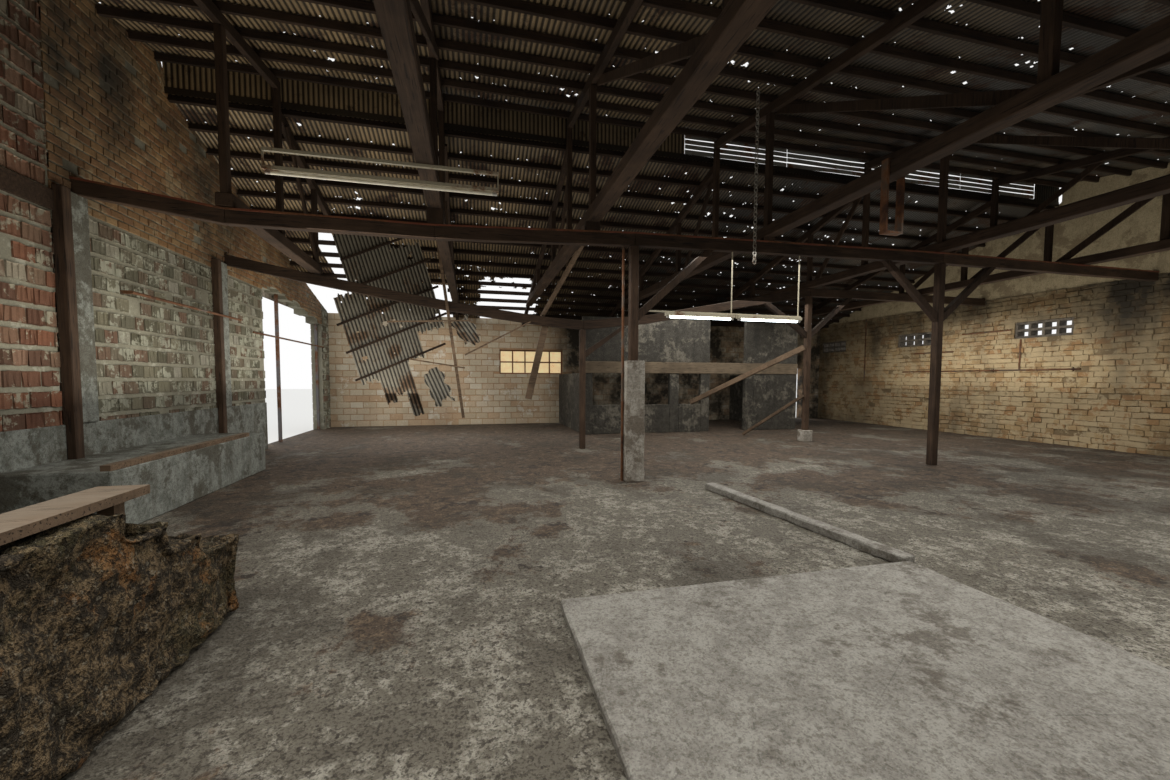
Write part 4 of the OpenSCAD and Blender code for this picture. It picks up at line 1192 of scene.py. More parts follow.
@dataclass
class View:
    """The camera, the lamps, the sky and the ground around the hall."""

    place: Point = (-4.9, -6.9, 1.72)
    pitch: float = 3.059
    roll: float = -0.188
    yaw: float = 13.695
    sensor: float = 36.0
    focus: float = 460 / 1170 * 36
    shift: float = 14.33 / 1170
    ground: Color = (0.78, 0.78, 0.76)
    lamp_places: Sequence[Span] = ((-6, -6), (-5, 0), (0, -5), (0.5, 1), (6.3, -4), (6.5, 3),
                                   (-6, 6.5), (1.5, 4.8))
    lamp_z: float = 3.7
    daylight: Color = (1.0, 0.98, 0.95)
    warm: Color = (1.0, 0.95, 0.85)

    @staticmethod
    def put(name: str, data: bpy.types.ID, place: Point, turn: Point) -> bpy.types.Object:
        """Puts a camera or a lamp in the scene.

        Args:
            name: the object's name.
            data: the camera or lamp.
            place: where it stands.
            turn: its rotation in radians.

        Returns:
            The object.
        """
        obj = bpy.data.objects.new(name, data)
        obj.location, obj.rotation_euler = place, turn
        bpy.context.scene.collection.objects.link(obj)
        return obj

    def camera(self) -> None:
        """Sets the camera where the photograph was taken."""
        data = bpy.data.cameras.new("photo_camera")
        data.sensor_width = self.sensor
        data.lens = self.focus
        data.shift_y = self.shift
        data.clip_end = 200
        turn = tuple(math.radians(a) for a in (90 - self.pitch, self.roll, -self.yaw))
        bpy.context.scene.camera = self.put("photo_camera", data, self.place, turn)

    def lamp(self, name: str, place: Point, size: Span, power: float,
             colour: Color = (1, 1, 1), up: bool = False) -> None:
        """A soft lamp that the camera doesn't see.

        Args:
            name: its name.
            place: its middle.
            size: its length and width.
            power: its power in watts.
            colour: its colour.
            up: whether it shines up instead of down.
        """
        data = bpy.data.lights.new(name, "AREA")
        data.shape = "RECTANGLE"
        data.size, data.size_y = size
        data.energy = power
        data.color = colour
        lamp = self.put(name, data, place, (math.pi if up else 0, 0, 0))
        lamp.visible_camera = False

    def light(self) -> None:
        """Soft lamps inside the hall and a sun over it."""
        for i, (x, y) in enumerate(self.lamp_places):
            self.lamp(f"lamp_{i}", (x, y, self.lamp_z), (4.0, 3.5), 135, self.daylight)
        self.lamp("roof_lamp", (0, 0, 2.2), (12, 12), 90, up=True)
        self.lamp("left_lamp", (-7.5, 2.0, 1.4), (3, 9), 170, self.warm, up=True)
        self.lamp("right_lamp", (7.6, 0.5, 1.4), (3, 12), 110, self.warm, up=True)
        sun = bpy.data.lights.new("sun", "SUN")
        sun.energy = 1.2
        sun.angle = math.radians(25)
        self.put("sun", sun, (0, 0, 0), (math.radians(38), 0, math.radians(-155)))

    def sky(self) -> None:
        """A sky that looks white to the camera and lights softly."""
        world = bpy.data.worlds.new("sky")
        world.use_nodes = True
        tree = world.node_tree
        back = tree.nodes["Background"]
        path = tree.nodes.new("ShaderNodeLightPath")
        seen = tree.nodes.new("ShaderNodeMath")
        seen.operation = "MAXIMUM"
        tree.links.new(path.outputs["Is Camera Ray"], seen.inputs[0])
        tree.links.new(path.outputs["Is Transmission Ray"], seen.inputs[1])
        strength = tree.nodes.new("ShaderNodeMapRange")
        strength.inputs["To Min"].default_value = 0.75
        strength.inputs["To Max"].default_value = 1.0
        tree.links.new(seen.outputs[0], strength.inputs["Value"])
        tree.links.new(strength.outputs["Result"], back.inputs[1])
        back.inputs[0].default_value = (1, 1, 1, 1)
        bpy.context.scene.world = world

    def floor(self) -> None:
        """A plain pale ground around the hall."""
        deselect()
        bpy.ops.mesh.primitive_plane_add(size=160, location=(0, 0, -0.002))
        obj = bpy.context.object
        obj.name = "ground"
        nodes = Nodes("plain_ground")
        obj.data.materials.append(nodes.done(self.ground, 0.9))
        settle(obj)

    def set_up(self) -> None:
        """Sets camera, lamps, sky and ground."""
        bpy.context.scene.view_settings.view_transform = "Standard"
        self.camera()
        self.light()
        self.sky()
        self.floor()


class Facing(Enum):
    """The way that a wall face looks: its turn from -Y and the sign of its run."""

    FRONT = (0.0, 1)
    RIGHT = (90.0, 1)
    BACK = (180.0, -1)
    LEFT = (-90.0, -1)


@dataclass(frozen=True)
class Unit:
    """A brick, block or stone.

    Its length and height, the joint beside it and the bed under it, how far it stands proud, how
    far it is out of place, how uneven its ends and edges are, the share that is missing and the
    number of hollows that its face shows.
    """

    length: float
    height: float
    joint: float = 0.012
    bed: float = 0.012
    proud: float = 0.009
    shift: float = 0.002
    uneven: float = 0.0
    ragged: float = 0.0012
    drop: float = 0.0
    hollows: int = 0


BRICK = Unit(0.19, 0.085, 0.016, 0.022, 0.009, 0.004, 0.02, 0.003, 0.03)
BLOCK = Unit(0.39, 0.19, 0.020, 0.020, 0.010, 0.003, 0.01, 0.002, 0.004)
HOLLOW = Unit(0.205, 0.165, 0.022, 0.058, 0.017, 0.003, 0.03, 0.005, 0.03, 3)
STONE = Unit(0.26, 0.11, 0.018, 0.022, 0.014, 0.009, 0.09, 0.009, 0.03)


@dataclass
class Courses:
    """Courses of units laid on one face of a wall."""

    name: str
    facing: Facing
    at: float
    run: Span
    rise: Span
    unit: Unit
    finish: Masonry
    seed: int
    holes: Sequence[Rect] = ()
    top: Optional[Callable[[np.ndarray], np.ndarray]] = None
    base: Optional[Callable[[np.ndarray], np.ndarray]] = None
    shortest: float = 0.03
    lowest: float = 0.02
    under_roof: float = 0.01

    def one_unit(self) -> bpy.types.Object:
        """One unit without a back, its front edges chamfered.

        Returns:
            The unit.
        """
        u = self.unit
        obj = box(self.name, (0, -u.proud, 0), (u.length, 0.003, u.height))
        cut_away(obj, face_places(obj)[1][:, 1] > 0.5)
        divide(obj, 0, [u.length * k / u.hollows for k in range(1, u.hollows)])
        width, depth = (0.014, -0.012) if u.hollows else (0.006, 0.004)
        inset(obj, face_places(obj)[1][:, 1] < -0.5, width, depth, bool(u.hollows))
        return obj

    def lay(self) -> bpy.types.Object:
        """Lays the units with two arrays and fits them to the wall's edges and holes.

        Returns:
            All units of the face as one object.
        """
        u = self.unit
        _, sign = self.facing.value
        start, end = sorted((sign * self.run[0], sign * self.run[1]))
        pitch, lift = u.length + u.joint, u.height + u.bed
        nx = int((end - start) / pitch) + 3
        nz = int((self.rise[1] - self.rise[0]) / lift) + 1
        obj = self.one_unit()
        per = len(obj.data.vertices)
        repeat(obj, nx, (pitch, 0, 0))
        repeat(obj, nz, (0, 0, lift))
        co = points(obj).reshape(nz, nx, per, 3)
        rng = np.random.default_rng(self.seed)
        share = co[0, 0, :, 0] / u.length
        edges = rng.uniform(-1, 1, (nz, nx + 1)) * u.uneven
        co[..., 0] += share * edges[:, 1:, None] + (1 - share) * edges[:, :-1, None]
        co[..., 0] += start - pitch + (np.arange(nz) % 2)[:, None, None] * pitch / 2
        co[..., 2] += self.rise[0] + rng.uniform(-1, 1, (nz, nx, 1)) * u.shift * 0.5
        front = co[0, 0, :, 1] < -0.001
        co[..., 1] += np.where(front, rng.uniform(-1, 1, (nz, nx, 1)) * u.shift, 0)
        stray = rng.normal(0, u.ragged, co.shape) * (1, 0.4, 1)
        co += np.where(front[:, None], stray, 0)
        co = co.reshape(-1, per, 3)
        low, high = co.min(1), co.max(1)
        keep = (high[:, 0] > start + self.shortest) & (low[:, 0] < end - self.shortest)
        keep &= rng.uniform(size=len(co)) > u.drop
        np.clip(co[..., 0], start, end, out=co[..., 0])
        np.clip(co[..., 2], self.rise[0], self.rise[1], out=co[..., 2])
        for x0, x1, z0, z1 in self.holes:
            x0, x1 = sorted((sign * x0, sign * x1))
            keep &= self.cut_hole(co, x0, x1, z0, z1)
        if self.top:
            limit = self.top(co[..., 0] * sign) - self.under_roof
            keep &= (co[..., 2] < limit - self.lowest).any(1)
            co[..., 2] = np.minimum(co[..., 2], limit)
        if self.base:
            limit = self.base(co[..., 0] * sign)
            keep &= (co[..., 2] > limit + self.lowest).any(1)
            co[..., 2] = np.maximum(co[..., 2], limit)
        move_points(obj, co.reshape(-1, 3))
        set_tint(obj, np.repeat(rng.uniform(size=(len(co), 3)), per, axis=0))
        cut_away(obj, np.repeat(~keep, per), "VERT")
        turn, _ = self.facing.value
        obj.rotation_euler = (0, 0, math.radians(turn))
        obj.location = self.place()
        settle(obj)
        obj.name = self.name
        return obj

    def place(self) -> Vector:
        """Where the face's own origin lies in the hall."""
        along_x = self.facing in (Facing.RIGHT, Facing.LEFT)
        return Vector((self.at, 0, HALL.floor)) if along_x else Vector((0, self.at, HALL.floor))

    def cut_hole(self, co: np.ndarray, x0: float, x1: float, z0: float,
                 z1: float) -> np.ndarray:
        """Shortens the units that reach into a hole.

        Args:
            co: the units' points, changed in place.
            x0, x1: the hole's sides.
            z0, z1: its foot and head.

        Returns:
            Which units stay.
        """
        low, high = co.min(1), co.max(1)
        mid = (low + high) / 2
        hit = (high[:, 0] > x0) & (low[:, 0] < x1) & (high[:, 2] > z0) & (low[:, 2] < z1)
        inside = hit & (mid[:, 2] > z0) & (mid[:, 2] < z1)
        rest = hit & ~inside
        for side, axis, edge, sign in (
                (inside & (low[:, 0] < x0), 0, x0, 1),
                (inside & (high[:, 0] > x1) & (low[:, 0] >= x0), 0, x1, -1),
                (rest & (mid[:, 2] <= z0), 2, z0, 1), (rest & (mid[:, 2] >= z1), 2, z1, -1)):
            part = co[side]
            part[..., axis] = sign * np.minimum(sign * part[..., axis], sign * edge)
            co[side] = part
        low, high = co.min(1), co.max(1)
        gone = inside & (low[:, 0] >= x0 - 0.001) & (high[:, 0] <= x1 + 0.001)
        thin = (high[:, 0] - low[:, 0] < self.shortest) | (high[:, 2] - low[:, 2] < 0.015)
        return ~(gone | (hit & thin))


@dataclass
class Walls:
    """The walls, with their units on every face that shows."""

    window: Rect = (-3.96, -1.66, 1.8, 2.67)
    doorway: Rect = (7.78, 8.68, 0.0, 2.1)
    gate: Rect = (-2.1, 2.1, 0.0, 3.4)
    vents: list[Rect] = field(default_factory=lambda: [
        (y - 0.64, y + 0.64, 2.75, 3.19) for y in (9.1 - i * 3.56 for i in range(5))])
    bricks_end: float = -0.35

    def build(self) -> None:
        """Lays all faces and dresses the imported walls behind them."""
        h = HALL
        gap = (h.gap[0], h.gap[1], 0.0, 3.5)
        out_x, out_y = h.half_w + h.wall, h.half_l + h.wall
        faces = [
            Courses("left_bricks", Facing.RIGHT, -h.half_w, (-h.half_l, self.bricks_end),
                    (h.dado, 6.5), HOLLOW, RED_UNITS, 1, (), h.roof),
            Courses("left_blocks", Facing.RIGHT, -h.half_w, (self.bricks_end, h.gap[0]),
                    (0.72, 3.6), HOLLOW, GREY_UNITS, 2, (), h.roof),
            Courses("left_upper_bricks", Facing.RIGHT, -h.half_w, (self.bricks_end, h.gap[0]),
                    (3.62, 6.5), BRICK, GOLD_UNITS, 3, (), h.roof),
            Courses("left_head_bricks", Facing.RIGHT, -h.half_w, h.gap, (3.1, 6.0),
                    BRICK, GOLD_UNITS, 12, (), h.roof, h.head),
            Courses("left_far_blocks", Facing.RIGHT, -h.half_w, (h.gap[1], h.half_l), (0.0, 4.0),
                    HOLLOW, GREY_UNITS, 4, (), h.roof),
            Courses("back_blocks", Facing.FRONT, h.half_l, (-h.half_w, h.half_w), (0.0, 4.0),
                    BLOCK, ORANGE_UNITS, 5, (self.window, self.doorway), roof_at(h.half_l)),
            Courses("right_stones", Facing.LEFT, h.half_w, (-h.half_l, h.half_l), (0.0, 3.9),
                    STONE, OCHRE_UNITS, 6, self.vents, h.roof),
            Courses("entrance_blocks", Facing.BACK, -h.half_l, (-h.half_w, h.half_w), (0.0, 4.8),
                    BLOCK, OUTER_UNITS, 7, (self.gate,), roof_at(-h.half_l)),
            Courses("outer_left", Facing.LEFT, -out_x, (-out_y, out_y), (0.0, 6.6),
                    BLOCK, OUTER_UNITS, 8, (gap,), h.roof),
            Courses("outer_right", Facing.RIGHT, out_x, (-out_y, out_y), (0.0, 6.6),
                    BLOCK, OUTER_UNITS, 9, self.vents, h.roof),
            Courses("outer_back", Facing.BACK, out_y, (-out_x, out_x), (0.0, 4.0),
                    BLOCK, OUTER_UNITS, 10, (self.window, self.doorway), roof_at(h.half_l)),
            Courses("outer_front", Facing.FRONT, -out_y, (-out_x, out_x), (0.0, 4.9),
                    BLOCK, OUTER_UNITS, 11, (self.gate,), roof_at(-h.half_l)),
        ]
        for face in faces:
            present(face.lay(), face.finish)
        for node, finish in (("left_wall", LEFT_JOINTS), ("left_wall_head", LEFT_JOINTS),
                             ("back_wall", PALE_JOINTS), ("back_wall_infill", PALE_JOINTS),
                             ("right_wall", OCHRE_JOINTS), ("vent_course", OCHRE_JOINTS),
                             ("right_wall_band", CREAM), ("front_wall", OUTER_JOINTS)):
            dress(node, finish)


@dataclass
class BrokenWall:
    """The stump of a rough wall beside the viewer, worn by decay."""

    cell: float = 0.022
    layers: tuple[tuple[float, float, float], ...] = (
        (0.4, 0.13, 0.8), (0.13, 0.09, 0.6), (0.05, 0.05, 0.55))

    def build(self) -> None:
        """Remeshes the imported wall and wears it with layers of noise."""
        obj = copy_node("broken_wall", "broken-wall")
        low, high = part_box("broken_wall")
        finish_modifier(obj, "REMESH", mode="VOXEL", voxel_size=self.cell)
        for size, strength, middle in self.layers:
            noise = bpy.data.textures.new("wear", "CLOUDS")
            noise.noise_scale = size
            noise.noise_depth = 3
            finish_modifier(obj, "DISPLACE", texture=noise, strength=strength, mid_level=middle)
        co = points(obj)
        np.clip(co, np.array(low), np.array(high), out=co)
        move_points(obj, co)
        with editing(obj, "VERT"):
            bpy.ops.mesh.select_all(action="SELECT")
            bpy.ops.mesh.remove_doubles(threshold=0.001)
            bpy.ops.mesh.vertices_smooth(factor=0.35, repeat=1)
        activate(obj)
        bpy.ops.object.shade_smooth()
        present(obj, SOOTED, ("broken_wall",))


class Slope(Enum):
    """The two slopes of the roof."""

    FRONT = 1
    REAR = -1


@dataclass(frozen=True)
class Sheet:
    """Sizes of a corrugated sheet."""

    pitch: float = 0.076
    depth: float = 0.0165
    thick: float = 0.0014
    waves: int = 11
    cover: int = 10
    steps: int = 6

    def tear(self, obj: bpy.types.Object, lost: Callable[[np.ndarray], np.ndarray]) -> None:
        """Deletes the faces whose centres a test names."""
        cut_away(obj, lost(face_places(obj)[0]))

    def thicken(self, obj: bpy.types.Object) -> None:
        """Gives a sheet its thickness."""
        finish_modifier(obj, "SOLIDIFY", thickness=self.thick, offset=1)

    def rise(self, x: np.ndarray) -> np.ndarray:
        """Height of the corrugation at a place across the sheet."""
        return self.depth * (0.5 - 0.5 * np.cos(2 * math.pi * x / self.pitch))

    def grid(self, name: str, first: float, waves: int, rows: np.ndarray,
             shade: float = 0.0) -> bpy.types.Object:
        """A flat grid across a sheet with the rows given, bent to corrugations.

        Args:
            name: the object's name.
            first: place of the left edge.
            waves: number of corrugations.
            rows: places of the rows along the sheet.
            shade: how much darker the sheet is than others, 0 to 1.

        Returns:
            The sheet, without thickness.
        """
        deselect()
        nx, ny = waves * self.steps, len(rows) - 1
        bpy.ops.mesh.primitive_grid_add(x_subdivisions=nx, y_subdivisions=ny, size=1)
        obj = bpy.context.object
        obj.name = name
        co = points(obj)
        column = np.rint((co[:, 0] + 0.5) * nx)
        row = np.rint((co[:, 1] + 0.5) * ny).astype(int)
        x = column * self.pitch / self.steps
        co[:, 0], co[:, 1], co[:, 2] = first + x, rows[row], self.rise(x)
        move_points(obj, co)
        # Channel 0, the rise, marks the grooves for the painted shade; channel 1 is the sheet's own
        # darker tone.
        set_tint(obj, np.stack([co[:, 2] / self.depth, np.full(len(co), shade),
                                np.zeros(len(co))], 1))
        return obj


SHEET_SIZE = Sheet()


@dataclass
class RoofCourse:
    """One course of corrugated sheets on a slope."""

    name: str
    node: str
    slope: Slope
    start: float
    length: float
    level: int
    spans: Sequence[tuple[int, int]]
    holes: np.ndarray
    seed: int

    def sheet(self, first: int, waves: int, rng: np.random.Generator) -> bpy.types.Object:
        """One sheet with its rust holes and its misfit.

        Args:
            first: its first corrugation.
            waves: its number of corrugations.
            rng: the source of its misfit.

        Returns:
            The sheet in the slope's own frame.
        """
        s = SHEET_SIZE
        x0 = first * s.pitch - HALL.sheet_x
        x1 = x0 + waves * s.pitch
        end = self.start + self.length
        near = self.holes[(self.holes[:, 0] > x0 - 0.05) & (self.holes[:, 0] < x1 + 0.05)
                          & (self.holes[:, 1] > self.start) & (self.holes[:, 1] < end)]
        rows = [self.start, end]
        for _, y, r in near:
            rows += [y - r, y - r * 0.45, y + r * 0.2, y + r] if r > 0.025 else [y - r, y + r]
        rows = np.unique(np.round(np.clip(rows, self.start, end), 3))
        shade = (first * 7 + self.level * 4) % 11 / 10
        obj = s.grid(self.name, x0, waves, rows, shade)
        s.tear(obj, lambda at: (np.hypot(at[:, :1] - near[:, 0], at[:, 1:2] - near[:, 1])
                                < near[:, 2] * rng.uniform(0.85, 1.15, (len(at), 1))).any(1))
        co = points(obj)
        inner = (co[:, 1] > self.start + 0.001) & (co[:, 1] < end - 0.001)
        inward = np.sign((self.start + end) / 2 - co[:, 1]) * rng.uniform(0, 0.012)
        co[:, 1] += np.where(inner, rng.normal(0, 0.004, len(co)), inward)
        co[:, 2] += (co[:, 0] - x0) / (x1 - x0) * 0.0016 + rng.uniform(0, 0.0008)
        move_points(obj, co)
        return obj

    def build(self) -> bpy.types.Object:
        """Lays the sheets side by side, one corrugation over the next, on the slope.

        Returns:
            The course.
        """
        s = SHEET_SIZE
        rng = np.random.default_rng(self.seed)
        parts = []
        for first, last in self.spans:
            for i in range(first, last, s.cover):
                parts.append(self.sheet(i, min(s.waves, last - i), rng))
        obj = join(self.name, parts)
        with editing(obj):
            bpy.ops.mesh.select_all(action="SELECT")
            bpy.ops.mesh.dissolve_limited(angle_limit=0.01)
            cut_across(1, [self.start + share * self.length for share in (0.25, 0.5, 0.75)])
        s.thicken(obj)
        co = points(obj)
        co[:, 2] += HALL.purlin + self.level * 0.004
        np.clip(co[:, 0], -HALL.sheet_x, HALL.sheet_x, out=co[:, 0])
        move_points(obj, co)
        front = self.slope is Slope.FRONT
        obj.rotation_euler = (HALL.front_a if front else -HALL.rear_a, 0, 0)
        obj.location = (0, HALL.ridge_y, HALL.floor + (HALL.ridge if front else HALL.rear_top))
        settle(obj)
        smooth(obj)
        return obj


@dataclass
class Roof:
    """The corrugated roof with its rust holes; clusters give side, place, spread and number."""

    lap: float = 0.15
    cap: float = 0.18
    clusters: Sequence[tuple[Slope, float, float, float, int]] = (
        (Slope.REAR, -7.3, 2.3, 0.22, 12), (Slope.REAR, -4.1, 3.63, 0.09, 8),
        (Slope.REAR, -4.2, 2.29, 0.12, 6), (Slope.FRONT, -3.2, 0.88, 0.10, 9),
        (Slope.FRONT, -2.37, 2.17, 0.12, 4), (Slope.FRONT, -1.08, 2.56, 0.10, 5),
        (Slope.FRONT, -0.36, 2.12, 0.12, 5), (Slope.FRONT, 0.1, 4.15, 0.10, 6),
        (Slope.FRONT, 0.54, 4.32, 0.08, 5), (Slope.FRONT, 2.62, 3.71, 0.08, 7),
        (Slope.FRONT, -7.0, 0.55, 0.16, 14), (Slope.FRONT, -6.2, 0.5, 0.12, 9),
        (Slope.REAR, -5.0, 5.0, 0.35, 14), (Slope.REAR, 0.5, 1.4, 0.5, 20),
        (Slope.REAR, 2.4, 2.2, 0.7, 34), (Slope.REAR, 4.5, 3.4, 0.8, 34),
        (Slope.REAR, 6.6, 5.1, 0.9, 26), (Slope.REAR, -0.5, 4.2, 0.9, 26))
    scatter: int = 240
    nailed: int = 420
    reach: float = 9.6
    purlin_step: float = 0.56
    waves: int = 260
    seed: int = 40

    def holes(self, slope: Slope) -> np.ndarray:
        """Places and radii of the rust holes of a slope, in its own frame.

        Args:
            slope: the slope.

        Returns:
            One row for each hole: place across, distance from the ridge and radius.
        """
        rng = np.random.default_rng(self.seed + slope.value)
        front = slope is Slope.FRONT
        length, purlins, first = (11.9, 20, 0.17) if front else (8.8, 15, 0.09)
        x = rng.uniform(-self.reach, self.reach, self.scatter)
        small = 0.008 + 0.022 * rng.random(self.scatter) ** 3
        rows = [np.stack([x, rng.uniform(0.3, length, self.scatter), small], 1)]
        line = rng.integers(0, purlins, self.nailed) * self.purlin_step + first
        x = rng.uniform(-self.reach, self.reach, self.nailed)
        rows.append(np.stack([x, line, rng.uniform(0.007, 0.013, self.nailed)], 1))
        for side, x, y, spread, count in self.clusters:
            if side is slope:
                place = rng.normal(0, spread, (count, 2)) + (x, y)
                radius = 0.010 + 0.035 * rng.random((count, 1)) ** 2
                rows.append(np.concatenate([place, radius], 1))
        if not front:
            rows.append(self.ragged_edge(rng))
        found = np.concatenate(rows)
        found[:, 1] *= -1 if front else 1
        return found

    @staticmethod
    def ragged_edge(rng: np.random.Generator) -> np.ndarray:
        """Bites out of the sheets around the torn hole and beside the lost bay.

        Args:
            rng: the source of the random draws.

        Returns:
            One row for each bite: place across, distance from the ridge and radius.
        """
        left, right, top, bay = -4.67, -2.72, 5.42, -5.56
        over = np.stack([rng.uniform(left, right, 40), rng.uniform(top, top + 0.75, 40),
                         rng.uniform(0.08, 0.2, 40)], 1)
        sides = np.stack([rng.choice([left, right - 0.05, bay], 26), rng.uniform(6.0, 8.6, 26),
                          rng.uniform(0.03, 0.13, 26)], 1)
        foot = np.stack([rng.uniform(-8.2, -5.0, 20), rng.uniform(6.2, 6.35, 20),
                         rng.uniform(0.03, 0.12, 20)], 1)
        return np.concatenate([over, sides, foot])

    def cuts(self) -> tuple[int, ...]:
        """Corrugations at which the slit, the lost bay and the hole begin and end."""
        first, lost = (int((x + HALL.sheet_x) / SHEET_SIZE.pitch) - 2 for x in HALL.truss_x)
        return first - 6, first, lost, lost + 12, lost + 36, self.waves

    def build(self) -> None:
        """Builds the six courses, three on each slope, and leaves out the lost parts."""
        h = HALL
        front = (h.half_l + h.wall + h.ridge_y + h.overhang) / math.cos(h.front_a)
        rear = (h.half_l + h.wall - h.ridge_y + h.overhang) / math.cos(h.rear_a)
        run_f, run_r = (front + 2 * self.lap) / 3, (rear - 0.06 + 2 * self.lap) / 3
        front_holes, rear_holes = self.holes(Slope.FRONT), self.holes(Slope.REAR)
        slit_0, slit_1, lost, hole_0, hole_1, n = self.cuts()
        for k, key in enumerate(("low", "mid", "top")):
            course = RoofCourse(f"front_{key}", f"front_sheets_{key}", Slope.FRONT,
                                -front + k * (run_f - self.lap),
                                run_f + (self.cap if k == 2 else 0), k,
                                ((0, n),), front_holes, 50 + k)
            present(course.build(), SHEET, (course.node,))
            spans = (((lost, hole_0), (hole_1, n)), ((0, slit_0), (slit_1, n)), ((0, n),))[k]
            course = RoofCourse(f"rear_{key}", f"rear_sheets_{key}", Slope.REAR,
                                rear - run_r - k * (run_r - self.lap), run_r, k, spans,
                                rear_holes, 60 + k)
            present(course.build(), SHEET, (course.node,))


@dataclass
class Ridge:
    """The slats, closing sheets and flashing in the step between the two slopes."""

    slats: int = 4
    louvre: Span = (-0.75, 8.65)
    slat_run: float = 2.35
    gap: float = 0.02
    face: float = 0.0575
    seed: int = 70

    def slat(self, name: str, run: Span, low: float, high: float,
             rng: np.random.Generator) -> bpy.types.Object:
        """One bent slat across the step.

        Args:
            name: its name.
            run: its ends.
            low: its lower edge.
            high: its upper edge.
            rng: the source of its bends.

        Returns:
            The slat.
        """
        y = HALL.ridge_y + 0.057
        obj = box(name, (run[0], y, low), (run[1], y + 0.004, high))
        divide(obj, 0, np.arange(run[0] + 0.3, run[1] - 0.1, 0.3))
        co = points(obj)
        wave = np.sin(co[:, 0] * rng.uniform(1.5, 3) + rng.uniform(0, 6))
        co[:, 1] += 0.004 + 0.004 * wave
        co[:, 2] += 0.004 * np.sin(co[:, 0] * rng.uniform(2, 5) + rng.uniform(0, 6))
        move_points(obj, co)
        return obj

    def build(self) -> None:
        """Sets the slats between the corrugated closing sheets, over a flashing."""
        h = HALL
        low = h.floor + h.rear_top + h.purlin / math.cos(h.rear_a) + 0.016
        high = h.floor + h.ridge + h.purlin / math.cos(h.front_a) + 0.007
        pitch = (high - low - self.gap) / self.slats
        rng = np.random.default_rng(self.seed)
        parts = []
        for i in range(self.slats):
            foot = low + self.gap + i * pitch
            for x in np.arange(*self.louvre, self.slat_run):
                end = min(x + self.slat_run - 0.01, self.louvre[1])
                parts.append(self.slat("slat", (x, end), foot, foot + pitch - self.gap * 0.8, rng))
        plates = [box("flashing", (-h.half_w, h.ridge_y + 0.0555, low - 0.09),
                      (h.half_w, h.ridge_y + self.face, low + 0.012))]
        for run in ((-h.half_w, self.louvre[0]), (self.louvre[1], h.half_w)):
            waves = round((run[1] - run[0]) / SHEET_SIZE.pitch)
            sheet = SHEET_SIZE.grid("plate", run[0], waves, np.array([-high, 0.01 - low]))
            SHEET_SIZE.thicken(sheet)
            sheet.rotation_euler = (-math.pi / 2, 0, 0)
            sheet.location = (0, h.ridge_y + self.face, 0)
            settle(sheet)
            plates.append(sheet)
        present(join("ridge_slats", parts), LOUVRE, ("ridge_louvres",))
        closing = join("ridge_plates", plates)
        smooth(closing)
        present(closing, PLATE, ("ridge_louvres",))


